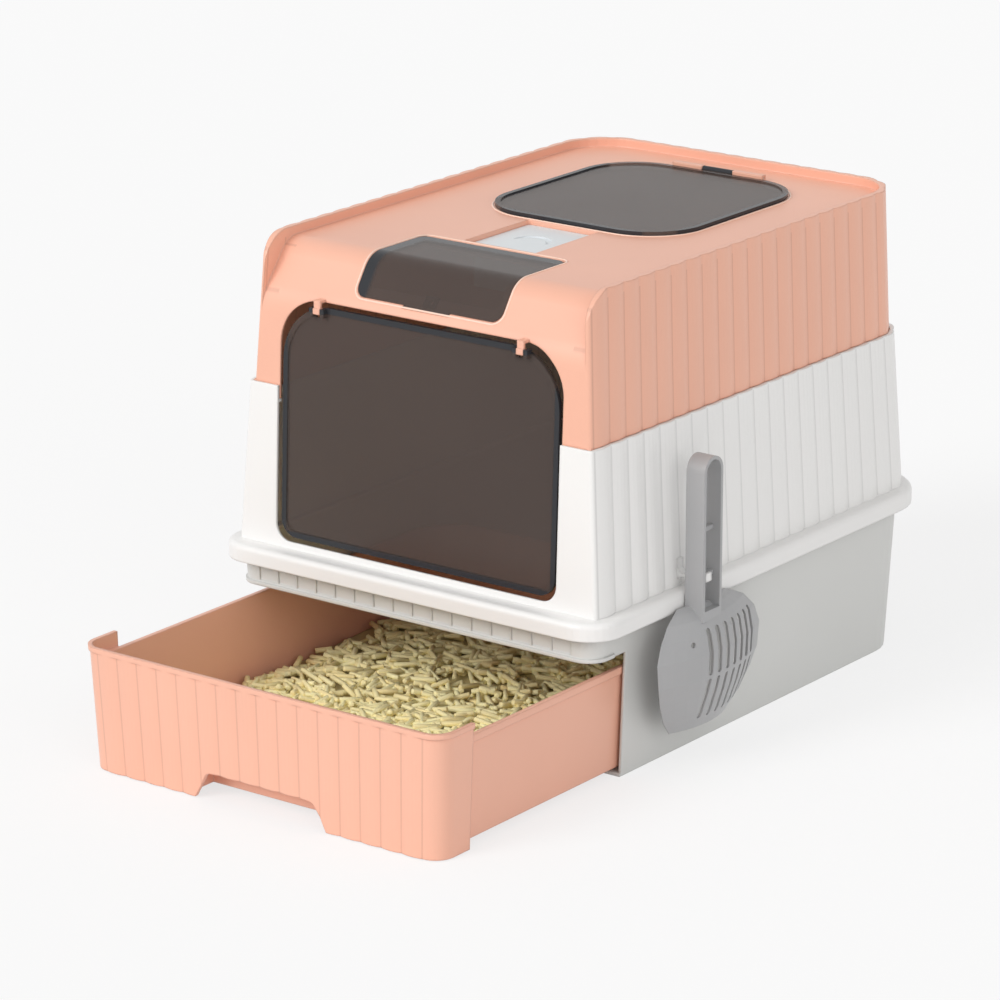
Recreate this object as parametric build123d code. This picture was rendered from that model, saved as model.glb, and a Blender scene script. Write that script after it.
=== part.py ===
from build123d import *
import os
from math import atan2, cos, hypot, pi, radians, sin, sqrt, tan

# Drawer litter box. Millimetres, +Z up. The origin is on the floor under the middle of the
# cabin, +X is the side with the scoop, and the drawer pulls out towards -Y.
# At rest the drawer stands pulled out, the flap hangs closed and every lid is shut.

# ---- walls and fits -------------------------------------------------------------------
WALL = 2.4                # moulded wall
NEST_FIT = 0.8            # all round, where one shell drops into another
SEAT_GAP = 0.3            # under a piece that rests on another
PIN_FIT = 0.06            # all round, between a pin and its bore
CUT = 40.0                # how far a cutting solid runs past what it cuts

# ---- reeds ------------------------------------------------------------------------------
REED_PITCH = 24.0         # reeds of the shell and the hood
REED_BOW = 0.085          # how far they stand out of the walls, for every millimetre of width
REED_FLATS = 5            # flat strips across each reed
CORNER_FLATS = 8          # and round each corner
FRONT_REEDS = 16          # on the drawer front, and cells in the fascia above it
FRONT_REED_BOW = 0.07

# ---- base tub: sizes at the floor -------------------------------------------------------
BASE_HALF_W = 185.2
BASE_FRONT = -243.5
BASE_REAR = 247.8
BASE_FRONT_R = 18.0
BASE_REAR_R = 50.0
BASE_DRAFT = 0.04         # outward growth of each wall for every millimetre of height
BASE_FLOOR = 3.0
SIDE_WALL_SET_BACK = 41.5  # of the side walls' front edge, behind the drawer's ears
FLOOR_NOSE = 1.6          # the floor runs this far ahead of the side walls
FASCIA_H = 23.6           # of the fascia that shows under the flange
FASCIA_LIP_H = 3.4
FASCIA_LIP_OUT = 1.6
FASCIA_CELL_DEPTH = 0.9
FASCIA_RIB = 1.8          # between two cells
RIM_LIP_H = 4.0           # outward lip round the top edge, inside the shell's flange
RUNNER_INSET = 67.2       # of the runners from the base's sides
RUNNER_W = 12.0
RUNNER_H = 3.6

# ---- shell, the white middle part ---------------------------------------------------------
FLANGE_SIDE_REACH = 19.8  # of the flange beyond the foot of the base
FLANGE_FRONT_REACH = 20.5
FLANGE_REAR_REACH = 19.2
FLANGE_FRONT_R = 32.0
FLANGE_REAR_R = 64.0
FLANGE_Z = 135.6          # lower edge of the flange
FLANGE_H = 15.4
FLANGE_ROUND = 5.0
ROUND_FLATS = 4           # flat strips across that rounding
FLANGE_WEB = 3.0
SHELL_SIDE_STEP = 14.6    # from the flange's edge in to the foot of the walls
SHELL_FRONT_STEP = 17.5
SHELL_REAR_STEP = 7.0
SHELL_H = 142.2
SHELL_SIDE_LEAN = 9.2     # inwards over the height of the shell
SHELL_FRONT_LEAN = 5.5
SHELL_REAR_LEAN = 5.0
SHELL_FRONT_R = 4.0
SHELL_REAR_R = 50.0

# ---- hood, the coloured top part -------------------------------------------------------------
HOOD_H = 129.3            # from the shell's top edge to the top of the raised rim
HOOD_SIDE_LEAN = 10.6
HOOD_FRONT_LEAN = 9.0
HOOD_REAR_LEAN = 3.0
SKIRT_DEPTH = 12.0        # plain skirt that drops inside the shell
SKIRT_LEDGE = 2.6         # thickness of the shell's inner ledge under the skirt
SKIRT_LEDGE_REACH = 4.4
RIM_DROP = 8.0            # the top panel lies this far under the rim
RIM_W = 4.0
RIM_ROUND_R = 30.0        # rounding of the side walls' front top corner
SLOPE_FOOT_DROP = 54.5    # under the rim, where the front face turns into the sloping brow
SLOPE_RUN = 31.0          # how far the brow leans back up to the level of the top panel
SLOPE_FOOT_R = 40.0
SLOPE_TOP_R = 25.0

# ---- doorway and flap ------------------------------------------------------------------------
DOOR_SIDE = 31.9          # of the shell's front left beside the doorway
DOOR_SILL = 6.0           # above the flange
DOOR_HEAD = 50.5          # under the hood's rim
DOOR_TOP_R = 41.0
DOOR_BOTTOM_R = 15.0
FLAP_GAP = 3.6            # round the flap, inside the doorway
FLAP_TOP_R = 54.0         # rounder than the doorway, so that the flap's corners swing clear of it
FLAP_BOTTOM_R = 20.0
FLAP_SET_BACK = 3.0       # behind the front face
FLAP_THICK = 2.0
FLAP_BEAD_W = 5.0
FLAP_BEAD_T = 3.6
FLAP_AXIS_DROP = 6.7      # below the top of the doorway
FLAP_PIN_R = 1.3
HOOK_INSET = 42.3         # from the side of the doorway
HOOK_W = 7.0
HOOK_R = 2.6              # half the height of the hook's eye
LUG_W = 4.0
LUG_R = 2.4               # reach of a lug above its pin and ahead of it
LUG_ROOT = 5.0            # and below it, down the flap
LUG_GAP = 0.4
NOTCH_H = 9.5

# ---- top lid -----------------------------------------------------------------------------------
LID_SIDE = 66.6           # of the hood's top left beside the lid
LID_REAR_GAP = 50.0       # and behind it
LID_LENGTH = 229.0
LID_R = 54.0
LID_THICK = 2.2
LID_BEAD_W = 5.0
LID_BEAD_H = 1.3
LID_OVERLAP = 7.0         # of the lid over the edge of its opening
HINGE_HALF_L = 49.0
HINGE_R = 2.9
HINGE_RISE = 0.5          # of the lid's knuckles over the top panel
HINGE_BACK = 6.0          # hinge line behind the lid
KNUCKLES = 3
KNUCKLE_GAP = 0.4
LID_PIN_R = 1.25
CATCH_W = 16.0
CATCH_L = 5.2

# ---- deodorizer compartment ------------------------------------------------------------------------
CASSETTE_LID_GAP = 4.0    # between the compartment and the lid
CASSETTE_LENGTH = 92.0
CASSETTE_HALF_W = 37.5
CASSETTE_GAP = 0.5
CASSETTE_R = 1.5
COVER_DROP = 4.2          # top of the cover below the top panel
COVER_THICK = 2.2
BOX_RIM_T = 1.8
BOX_DEPTH = 34.0
BOX_RIM_W = 5.0
BOX_WALL = 1.6
BOX_SLOTS = 5
BOX_SLOT_W = 5.0
BLOCK_H = 20.0
BLOCK_CHAMFER = 1.0
GRIP_R = 17.0
GRIP_W = 8.0
GRIP_DEPTH = 1.2

# ---- visor on the brow ---------------------------------------------------------------------------
VISOR_HALF_W = 76.0
VISOR_CASSETTE_GAP = 8.0  # between the visor and the deodorizer compartment
VISOR_DROP = 33.0         # of its lower edge under the top panel
VISOR_R = 9.0
VISOR_GAP = 0.6
VISOR_LEDGE = 7.0
VISOR_REAR_LEDGE = 17.0
VISOR_AXIS_BACK = 2.6     # hinge line ahead of the visor's rear edge
VISOR_AXIS_DROP = 3.6     # and below the top panel
VISOR_PIN_R = 1.25
VISOR_EAR_R = 2.3         # half the length of an ear
VISOR_EAR_W = 3.6
VISOR_SOCKET_W = 6.4      # of the hood's material beside the visor that takes the pin
VISOR_SOCKET_H = 7.0
VISOR_TRENCH = 5.0        # free space ahead of the hinge line for the ears
VISOR_TAB_HALF_W = 24.0   # finger tab at the lower edge
VISOR_TAB_DROP = 2.4
VISOR_CATCH_W = 13.0      # eye-shaped clip behind the lower edge
VISOR_CATCH_H = 10.0
VISOR_CATCH_T = 5.0
VISOR_CATCH_HOLE_R = 2.8
VISOR_CATCH_RISE = 6.0    # of its centre above the visor's lower edge

# ---- drawer --------------------------------------------------------------------------------------
DRAWER_OUT = 208.0        # pulled out by this much at rest
DRAWER_TOP_GAP = 1.5      # under the fascia
DRAWER_BAND_H = 4.5       # plain band above the reeds
DRAWER_FOOT = 1.0         # lower edge of its front panel
DRAWER_EAR_GAP = 2.0      # between the ears and the side walls when shut
DRAWER_FIT = 1.4          # beside the tray's rim
DRAWER_REAR_GAP = 5.0
TRAY_RIM_DROP = 12.9      # of the tray's rim under the top of the front panel
TRAY_RIM_H = 6.5
TRAY_RIM_OUT = 2.0
TRAY_FLOOR = 2.4
PULL_HALF_W = 69.0
PULL_TOP_HALF_W = 56.0
PULL_H = 25.0
PULL_R = 8.0
PULL_DEPTH = 22.0

# ---- litter --------------------------------------------------------------------------------------
LITTER_DEPTH = 16.5
LITTER_GAP = 0.3
MOUND_PITCH = 46.0        # low mounds of the litter's surface
MOUND_R = 22.0
MOUND_TOP_R = 5.0
MOUND_H = 3.8
MOUND_SIDES = 4
MOUND_TURN = 17.0         # of each mound against the one before

# ---- scoop and its hook --------------------------------------------------------------------------
SCOOP_Y = -126.7          # middle of the handle
SCOOP_CLEAR = 1.4         # between the handle's back and the flange
HANDLE_W = 27.4
HANDLE_T = 3.0
HANDLE_DEEP = 18.5
HANDLE_RISE = 107.0       # of its top above the lower bar
HANDLE_ROOT = 36.0        # of its lower end below the lower bar
BAR_RISE = 12.0           # of the lower bar above the flange
BAR_STEP = 40.0           # from the lower bar to the upper one
BAR_H = 4.0
BLADE_Y = -117.5          # middle of the blade
BLADE_DROP = 24.0         # of its upper edge below the lower bar
BLADE_WALL = 2.2
BLADE_STRIPS = 10         # flat strips across the blade
BLADE_BOW = 0.22          # bulge of the blade for every millimetre of its half width
BLADE_LEVELS = [          # depth below the upper edge, half width, and the rim's distance from the handle's back
    (0.0, 36.0, 0.3),
    (3.0, 44.0, 2.6),
    (9.0, 57.0, 5.4),
    (22.0, 70.0, 8.2),
    (38.0, 76.5, 9.4),
    (59.5, 74.0, 9.2),
    (76.0, 68.0, 6.4),
    (95.0, 57.0, 2.6),
    (108.5, 44.0, -0.6)]
SLOTS = 7
SLOT_PITCH = 11.8
SLOT_W = 5.4
SLOT_CORNER = 0.3         # of a slot's width that each of its corners takes off
SLOT_SHIFT = 17.0         # of the slotted part from the middle of the blade
SLOT_TOP = 17.0           # below the blade's upper edge
SLOT_LENGTH = 41.0
CREASE_H = 3.0            # solid rib between the upper and the lower slots
LOWER_SLOT_W = 4.2
LOWER_SLOT_LENGTH = 38.0
SCOOP_HOLE_R = 2.4
SCOOP_HOLE_DROP = 27.0
SCOOP_HOLE_SHIFT = 38.0   # towards the front
PEG_W = 8.0
PEG_T = 3.0
PEG_TIP_H = 4.5
PEG_PLATE_H = 15.0
PEG_GUSSET = 4.0


# ======================================================================================================
# plan outlines: every shell is a flat-sided solid between two of them
# ======================================================================================================

def section(z, half_w, front, rear, r_front, r_rear):
    """Sizes of one plan outline."""
    return (z, half_w, front, rear, r_front, r_rear)


def between(lower, upper, z, inset=0.0):
    """Sizes of the outline at height z on the straight taper through two others, moved inwards by inset."""
    share = (z - lower[0]) / (upper[0] - lower[0])
    half_w, front, rear, r_front, r_rear = [a + share * (b - a) for a, b in zip(lower[1:], upper[1:])]
    return section(z, half_w - inset, front + inset, rear - inset,
                   max(r_front - inset, 0.6), max(r_rear - inset, 0.6))


def stretches(sizes):
    """Lengths of the right side, the right rear corner, the rear, the left rear corner and the left side."""
    z, half_w, front, rear, r_front, r_rear = sizes
    side = rear - r_rear - front - r_front
    corner = pi / 2 * r_rear
    return side, corner, 2 * (half_w - r_rear), corner, side


def walk(sizes, distance):
    """Point and outward normal, at a distance along the right side, the rear and the left side."""
    z, half_w, front, rear, r_front, r_rear = sizes
    side, corner, across = stretches(sizes)[:3]
    if distance <= side:
        return (half_w, front + r_front + distance), (1, 0)
    distance -= side
    if distance <= corner:
        turn = distance / r_rear
        return (half_w - r_rear + r_rear * cos(turn), rear - r_rear + r_rear * sin(turn)), (cos(turn), sin(turn))
    distance -= corner
    if distance <= across:
        return (half_w - r_rear - distance, rear), (0, 1)
    distance -= across
    if distance <= corner:
        turn = pi / 2 + distance / r_rear
        return (-half_w + r_rear + r_rear * cos(turn), rear - r_rear + r_rear * sin(turn)), (cos(turn), sin(turn))
    distance -= corner
    return (-half_w, rear - r_rear - distance), (-1, 0)


def reed_points(place, length, reeds, bow):
    """Points along a stretch of wall after its first one, bowed out between grooves.
    place(distance) gives the point on the wall and its outward normal."""
    width = length / reeds
    points = []
    for i in range(1, reeds * REED_FLATS + 1):
        (x, y), (out_x, out_y) = place(width * i / REED_FLATS)
        rise = bow * width * (1 - (2 * (i % REED_FLATS) / REED_FLATS - 1) ** 2)
        points.append((x + rise * out_x, y + rise * out_y))
    return points


def plan(sizes, side_reeds=None, front_reeds=0):
    """Corners of a plan outline, with so many reeds on each stretch of the sides and rear, or along the front."""
    z, half_w, front, rear, r_front, r_rear = sizes
    turns = [pi / 2 * i / CORNER_FLATS for i in range(CORNER_FLATS + 1)]
    points = [(half_w - r_front + r_front * sin(turn), front + r_front - r_front * cos(turn)) for turn in turns]
    mirrored = [(-x, y) for x, y in reversed(points[:-1])]
    start = 0
    for i, length in enumerate(stretches(sizes)):
        if side_reeds:
            points += reed_points(lambda distance: walk(sizes, start + distance), length, side_reeds[i], REED_BOW)
        else:
            flats = CORNER_FLATS if i % 2 else 1
            points += [walk(sizes, start + length * (k + 1) / flats)[0] for k in range(flats)]
        start += length
    points += mirrored
    if front_reeds:
        points += reed_points(lambda distance: ((-half_w + r_front + distance, front), (0, -1)),
                              2 * (half_w - r_front), front_reeds, FRONT_REED_BOW)[:-1]
    return [(x, y, z) for x, y in points]


def flat_sided(outlines):
    """Solid through a row of outlines whose sides are parallel one to one, with flat strips between them."""
    strips = [Face(Wire.make_polygon([a, b, d, c]))
              for lower, upper in zip(outlines, outlines[1:])
              for a, b, c, d in zip(lower, lower[1:] + lower[:1], upper, upper[1:] + upper[:1])]
    ends = [Face(Wire.make_polygon(outline)) for outline in (outlines[0], outlines[-1])]
    return Solid(Shell(strips + ends))


def tapered(lower, upper, z0, z1, inset=0.0, side_reeds=None, front_reeds=0):
    """Solid between two heights of a tapering outline."""
    return flat_sided([plan(between(lower, upper, z, inset), side_reeds, front_reeds) for z in (z0, z1)])


def block(x0, x1, y0, y1, z0, z1):
    """Box between two corners."""
    return Pos((x0 + x1) / 2, (y0 + y1) / 2, (z0 + z1) / 2) * Box(x1 - x0, y1 - y0, z1 - z0)


def along_x(face_points, x0, x1):
    """Straight-sided profile of (y, z) points, run from x0 to x1."""
    wire = Wire(Polyline([(x0, y, z) for y, z in face_points], close=True).edges())
    return extrude(Face(wire), amount=x1 - x0, dir=(1, 0, 0))


def rod_x(radius, x0, x1, y, z):
    """Round bar along X."""
    return Pos((x0 + x1) / 2, y, z) * Rot(0, 90, 0) * Cylinder(radius, x1 - x0)


def rounded_pad(half_w, y0, y1, z0, z1, radius):
    """Flat pad with rounded corners in plan."""
    outline = RectangleRounded(2 * half_w, y1 - y0, radius)
    return extrude(Pos(0, (y0 + y1) / 2, z0) * outline, amount=z1 - z0)


# ======================================================================================================
# shared sections
# ======================================================================================================

FLANGE_TOP = FLANGE_Z + FLANGE_H
BASE_TOP = FLANGE_TOP - FLANGE_WEB - SEAT_GAP
SHELL_TOP_Z = FLANGE_TOP + SHELL_H
HOOD_TOP_Z = SHELL_TOP_Z + HOOD_H
PANEL_Z = HOOD_TOP_Z - RIM_DROP

FLANGE_HALF_W = BASE_HALF_W + FLANGE_SIDE_REACH
FLANGE_FRONT = BASE_FRONT - FLANGE_FRONT_REACH
FLANGE_REAR = BASE_REAR + FLANGE_REAR_REACH
SHELL_FOOT_HALF_W = FLANGE_HALF_W - SHELL_SIDE_STEP
SHELL_FOOT_FRONT = FLANGE_FRONT + SHELL_FRONT_STEP
SHELL_FOOT_REAR = FLANGE_REAR - SHELL_REAR_STEP
SHELL_TOP_HALF_W = SHELL_FOOT_HALF_W - SHELL_SIDE_LEAN
SHELL_TOP_FRONT = SHELL_FOOT_FRONT + SHELL_FRONT_LEAN
SHELL_TOP_REAR = SHELL_FOOT_REAR - SHELL_REAR_LEAN
HOOD_TOP_HALF_W = SHELL_TOP_HALF_W - HOOD_SIDE_LEAN
HOOD_TOP_FRONT = SHELL_TOP_FRONT + HOOD_FRONT_LEAN
HOOD_TOP_REAR = SHELL_TOP_REAR - HOOD_REAR_LEAN

base_foot = section(0.0, BASE_HALF_W, BASE_FRONT, BASE_REAR, BASE_FRONT_R, BASE_REAR_R)
base_rim = section(BASE_TOP, BASE_HALF_W + BASE_DRAFT * BASE_TOP, BASE_FRONT - BASE_DRAFT * BASE_TOP,
                   BASE_REAR + BASE_DRAFT * BASE_TOP, BASE_FRONT_R, BASE_REAR_R)
flange_foot = section(FLANGE_Z, FLANGE_HALF_W, FLANGE_FRONT, FLANGE_REAR, FLANGE_FRONT_R, FLANGE_REAR_R)
flange_head = section(FLANGE_TOP, *flange_foot[1:])
shell_foot = section(FLANGE_TOP, SHELL_FOOT_HALF_W, SHELL_FOOT_FRONT, SHELL_FOOT_REAR, SHELL_FRONT_R, SHELL_REAR_R)
shell_head = section(SHELL_TOP_Z, SHELL_TOP_HALF_W, SHELL_TOP_FRONT, SHELL_TOP_REAR, SHELL_FRONT_R, SHELL_REAR_R)
hood_foot = between(shell_foot, shell_head, SHELL_TOP_Z, WALL + NEST_FIT)
hood_foot = section(*hood_foot[:4], SHELL_FRONT_R, SHELL_REAR_R)
hood_head = section(HOOD_TOP_Z, HOOD_TOP_HALF_W, HOOD_TOP_FRONT, HOOD_TOP_REAR, SHELL_FRONT_R, SHELL_REAR_R)
DOOR_CUT_REAR = SHELL_TOP_FRONT + CUT
DOOR_HALF_W = SHELL_TOP_HALF_W - DOOR_SIDE
DOOR_BOTTOM = FLANGE_TOP + DOOR_SILL
DOOR_TOP = HOOD_TOP_Z - DOOR_HEAD
SIDE_REEDS = [round(length / REED_PITCH) for length in stretches(shell_foot)]
FRONT_REED_RISE = FRONT_REED_BOW * 2 * (BASE_HALF_W - BASE_FRONT_R) / FRONT_REEDS


def front_face_y(z):
    """Y of the sloping front face of the shell and hood at height z."""
    lower, upper = (shell_foot, shell_head) if z < SHELL_TOP_Z else (hood_foot, hood_head)
    return between(lower, upper, z)[2]


def doorway(shrink, y0, y1, top_r=DOOR_TOP_R, bottom_r=DOOR_BOTTOM_R):
    """Doorway outline, smaller by shrink all round, run along Y."""
    half_w = DOOR_HALF_W - shrink
    z0 = DOOR_BOTTOM + shrink
    z1 = DOOR_TOP - shrink
    corners = Polyline((-half_w, z0), (half_w, z0), (half_w, z1), (-half_w, z1), close=True)
    outline = make_face(corners)
    low = outline.vertices().filter_by_position(Axis.Y, z0 - 1, z0 + 1)
    outline = fillet(low, bottom_r - shrink)
    high = outline.vertices().filter_by_position(Axis.Y, z1 - 1, z1 + 1)
    outline = fillet(high, top_r - shrink)
    return extrude(Plane((0, y0, 0), x_dir=(1, 0, 0), z_dir=(0, -1, 0)) * outline, amount=y0 - y1)


# ======================================================================================================
# base tub
# ======================================================================================================

SIDE_WALL_FRONT = BASE_FRONT + SIDE_WALL_SET_BACK
FASCIA_BOTTOM = FLANGE_Z - FASCIA_H
RUNNER_X = BASE_HALF_W - RUNNER_INSET


def fascia_cells():
    """Shallow cells across the fascia, to be cut out of it."""
    half_run = BASE_HALF_W - BASE_FRONT_R
    step = 2 * half_run / FRONT_REEDS
    cells = [block(-half_run + step * i + FASCIA_RIB / 2, -half_run + step * (i + 1) - FASCIA_RIB / 2,
                   FLANGE_FRONT, BASE_FRONT, FASCIA_BOTTOM + FASCIA_LIP_H + FASCIA_RIB, FLANGE_Z + FASCIA_RIB)
             for i in range(FRONT_REEDS)]
    core = tapered(base_foot, base_rim, FASCIA_BOTTOM, BASE_TOP, inset=FASCIA_CELL_DEPTH)
    return Compound(children=cells) - core


def base_tub():
    tub = tapered(base_foot, base_rim, 0, BASE_TOP)
    tub -= tapered(base_foot, base_rim, BASE_FLOOR, BASE_TOP + CUT, inset=WALL)
    reach = FLANGE_HALF_W + CUT
    ahead = FLANGE_FRONT - CUT
    tub -= block(-reach, reach, ahead, SIDE_WALL_FRONT, BASE_FLOOR, FASCIA_BOTTOM)
    tub -= block(-reach, reach, ahead, SIDE_WALL_FRONT - FLOOR_NOSE, -CUT, FASCIA_BOTTOM)
    tub -= fascia_cells()
    lip = tapered(base_foot, base_rim, FASCIA_BOTTOM, FASCIA_BOTTOM + FASCIA_LIP_H, inset=-FASCIA_LIP_OUT)
    lip -= tapered(base_foot, base_rim, FASCIA_BOTTOM - 1, FASCIA_BOTTOM + FASCIA_LIP_H + 1, inset=WALL / 2)
    lip &= block(-reach, reach, ahead, SIDE_WALL_FRONT - BASE_FRONT_R, FASCIA_BOTTOM, FLANGE_Z)
    rim_lip = tapered(flange_foot, flange_head, BASE_TOP - RIM_LIP_H, BASE_TOP, inset=WALL + NEST_FIT)
    rim_lip -= tapered(base_foot, base_rim, BASE_TOP - RIM_LIP_H - 1, BASE_TOP + 1, inset=WALL / 2)
    tub += lip
    tub += rim_lip
    for side in (-1, 1):
        tub += block(side * RUNNER_X - RUNNER_W / 2, side * RUNNER_X + RUNNER_W / 2, SIDE_WALL_FRONT,
                     BASE_REAR - WALL, BASE_FLOOR - 1, BASE_FLOOR + RUNNER_H)
    return tub


# ======================================================================================================
# drawer and litter, built shut and then pulled out
# ======================================================================================================

TRAY_Z = BASE_FLOOR + RUNNER_H + SEAT_GAP
TRAY_INSET = WALL + DRAWER_FIT + TRAY_RIM_OUT
DRAWER_TOP = FASCIA_BOTTOM - DRAWER_TOP_GAP
TRAY_RIM_Z = DRAWER_TOP - TRAY_RIM_DROP


def tray_section(z, inset=0.0):
    """Outline of the tray: inside the base at the sides and rear, up to the front panel's face in front."""
    outer = between(base_foot, base_rim, z)
    shut_rear = outer[3] - WALL - DRAWER_REAR_GAP
    return section(z, outer[1] - TRAY_INSET - inset, outer[2] + inset, shut_rear - inset,
                   BASE_FRONT_R - inset, BASE_REAR_R - TRAY_INSET - inset)


def tray_solid(z0, z1, inset=0.0):
    return flat_sided([plan(tray_section(z, inset)) for z in (z0, z1)])


def drawer_tray():
    reach = FLANGE_HALF_W + CUT
    ahead = FLANGE_FRONT - CUT
    ear_rear = SIDE_WALL_FRONT - DRAWER_EAR_GAP
    front_zone = block(-reach, reach, ahead, ear_rear, -CUT, DRAWER_TOP + CUT)
    front = tapered(base_foot, base_rim, DRAWER_FOOT, DRAWER_TOP - DRAWER_BAND_H, front_reeds=FRONT_REEDS)
    front += tapered(base_foot, base_rim, DRAWER_TOP - DRAWER_BAND_H, DRAWER_TOP, inset=-FRONT_REED_RISE)
    front -= tapered(base_foot, base_rim, -CUT, DRAWER_TOP + CUT, inset=WALL)
    shelf = tapered(base_foot, base_rim, TRAY_RIM_Z - WALL, TRAY_RIM_Z, inset=WALL / 2)
    web = tapered(base_foot, base_rim, TRAY_Z, TRAY_RIM_Z, inset=WALL / 2)
    web &= block(-reach, reach, ear_rear - WALL, ear_rear, 0, DRAWER_TOP)
    body = tray_solid(TRAY_Z, TRAY_RIM_Z)
    rim = tray_solid(TRAY_RIM_Z - TRAY_RIM_H, TRAY_RIM_Z, inset=-TRAY_RIM_OUT)
    rim &= block(-reach, reach, ear_rear - WALL, BASE_REAR, 0, DRAWER_TOP)
    tray = front & front_zone
    tray += shelf & front_zone
    tray += web
    tray += body
    tray += rim
    hollow = tray_solid(TRAY_Z + TRAY_FLOOR, DRAWER_TOP + CUT, inset=WALL)
    pocket_front = BASE_FRONT + WALL / 2
    pocket = block(-PULL_HALF_W - WALL, PULL_HALF_W + WALL, pocket_front,
                   BASE_FRONT + PULL_DEPTH + WALL, TRAY_Z, PULL_H + 2 * WALL)
    hollow -= pocket
    tray -= hollow
    tray -= block(-PULL_HALF_W, PULL_HALF_W, pocket_front + WALL / 2, BASE_FRONT + PULL_DEPTH,
                  -CUT, PULL_H + WALL)
    pull = make_face(Polyline((-PULL_HALF_W - 1, 0), (PULL_HALF_W + 1, 0), (PULL_TOP_HALF_W, PULL_H),
                              (-PULL_TOP_HALF_W, PULL_H), close=True))
    pull = fillet(pull.vertices().filter_by_position(Axis.Y, PULL_H - 1, PULL_H + 1), PULL_R)
    pull_face = Plane((0, BASE_FRONT + 2 * WALL, 0), x_dir=(1, 0, 0), z_dir=(0, -1, 0))
    tray -= extrude(pull_face * pull, amount=CUT)
    return Pos(0, -DRAWER_OUT, 0) * tray


LITTER_CLEAR = WALL + LITTER_GAP


def litter_room(z0, z1):
    """Space between two heights that the drawer leaves for litter."""
    room = tray_solid(z0, z1, LITTER_CLEAR)
    return room - block(-PULL_HALF_W - LITTER_CLEAR, PULL_HALF_W + LITTER_CLEAR, FLANGE_FRONT,
                        BASE_FRONT + PULL_DEPTH + LITTER_CLEAR, 0, PULL_H + WALL + LITTER_CLEAR)


def mound(x, y, z, turn):
    """Low heap with flat slopes on the litter's level surface."""
    turns = [radians(turn + 360 * i / MOUND_SIDES) for i in range(MOUND_SIDES)]
    return flat_sided([[(x + radius * cos(a), y + radius * sin(a), z + rise) for a in turns]
                       for radius, rise in ((MOUND_R, 0), (MOUND_TOP_R, MOUND_H))])


def litter_bed():
    top_z = TRAY_Z + TRAY_FLOOR + LITTER_DEPTH
    outline = tray_section(top_z)
    columns = int(2 * outline[1] / MOUND_PITCH)
    rows = int((outline[3] - outline[2]) / MOUND_PITCH)
    mounds = []
    for i in range(columns * rows):
        row, column = divmod(i, columns)
        x = MOUND_PITCH * (column + row % 2 / 2 - columns / 2 + 1 / 4)
        mounds.append(mound(x, outline[2] + MOUND_PITCH * (row + 1 / 2), top_z, MOUND_TURN * i))
    bed = litter_room(TRAY_Z + TRAY_FLOOR + LITTER_GAP, top_z)
    bed += Compound(children=mounds) & litter_room(top_z, top_z + 2 * MOUND_H)
    return Pos(0, -DRAWER_OUT, 0) * bed


# ======================================================================================================
# shell
# ======================================================================================================

def shell_wall_x(z):
    """X of the shell's groove level on the right side at height z."""
    return between(shell_foot, shell_head, z)[1]


SCOOP_BACK_X = FLANGE_HALF_W + SCOOP_CLEAR
LOWER_BAR_Z = FLANGE_TOP + BAR_RISE


def scoop_peg():
    """Hook on the right side: a plate against the wall and a peg with an upturned tip."""
    peg_z = LOWER_BAR_Z - SEAT_GAP
    under_z = peg_z - PEG_T
    tip_x = SCOOP_BACK_X + HANDLE_DEEP / 2 + BAR_H / 2 + 2 * SEAT_GAP + PEG_T
    plate_z = under_z + PEG_PLATE_H
    root_x = shell_wall_x(plate_z) - WALL / 2
    plate_x = root_x + WALL + REED_BOW * REED_PITCH
    profile = [(root_x, under_z - PEG_GUSSET), (plate_x + PEG_GUSSET, under_z), (tip_x, under_z),
               (tip_x, peg_z + PEG_TIP_H), (tip_x - PEG_T, peg_z + PEG_TIP_H), (tip_x - PEG_T, peg_z),
               (plate_x + PEG_GUSSET, peg_z), (plate_x, peg_z + PEG_GUSSET), (plate_x, plate_z), (root_x, plate_z)]
    wire = Wire(Polyline([(x, SCOOP_Y - PEG_W / 2, z) for x, z in profile], close=True).edges())
    return extrude(Face(wire), amount=PEG_W, dir=(0, 1, 0))


def middle_shell():
    outlines = [plan(flange_foot)]
    for i in range(ROUND_FLATS + 1):
        turn = pi / 2 * i / ROUND_FLATS
        level = FLANGE_TOP - FLANGE_ROUND * (1 - sin(turn))
        outlines.append(plan(between(flange_foot, flange_head, level, FLANGE_ROUND * (1 - cos(turn)))))
    flange = flat_sided(outlines)
    flange -= tapered(flange_foot, flange_head, FLANGE_Z - CUT, FLANGE_TOP - FLANGE_WEB, inset=WALL)
    flange -= tapered(shell_foot, shell_head, FLANGE_Z, FLANGE_TOP + CUT, inset=WALL + SKIRT_LEDGE_REACH)
    wall = tapered(shell_foot, shell_head, FLANGE_TOP - FLANGE_WEB / 2, SHELL_TOP_Z, side_reeds=SIDE_REEDS)
    wall -= tapered(shell_foot, shell_head, FLANGE_Z, SHELL_TOP_Z + CUT, inset=WALL)
    ledge_z = SHELL_TOP_Z - SKIRT_DEPTH - SEAT_GAP
    ledge = tapered(shell_foot, shell_head, ledge_z - SKIRT_LEDGE, ledge_z, inset=WALL / 2)
    ledge -= tapered(shell_foot, shell_head, ledge_z - CUT, ledge_z + CUT, inset=WALL + SKIRT_LEDGE_REACH)
    shell = wall + flange
    shell += ledge
    shell -= doorway(0, DOOR_CUT_REAR, FLANGE_FRONT - CUT)
    shell += scoop_peg()
    return shell


# ======================================================================================================
# hood
# ======================================================================================================

SLOPE_FOOT_Z = HOOD_TOP_Z - SLOPE_FOOT_DROP
HOOD_DRAFT = atan2(HOOD_TOP_FRONT - hood_foot[2], HOOD_TOP_Z - SHELL_TOP_Z)
SLOPE = atan2(SLOPE_RUN, PANEL_Z - SLOPE_FOOT_Z)


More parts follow.
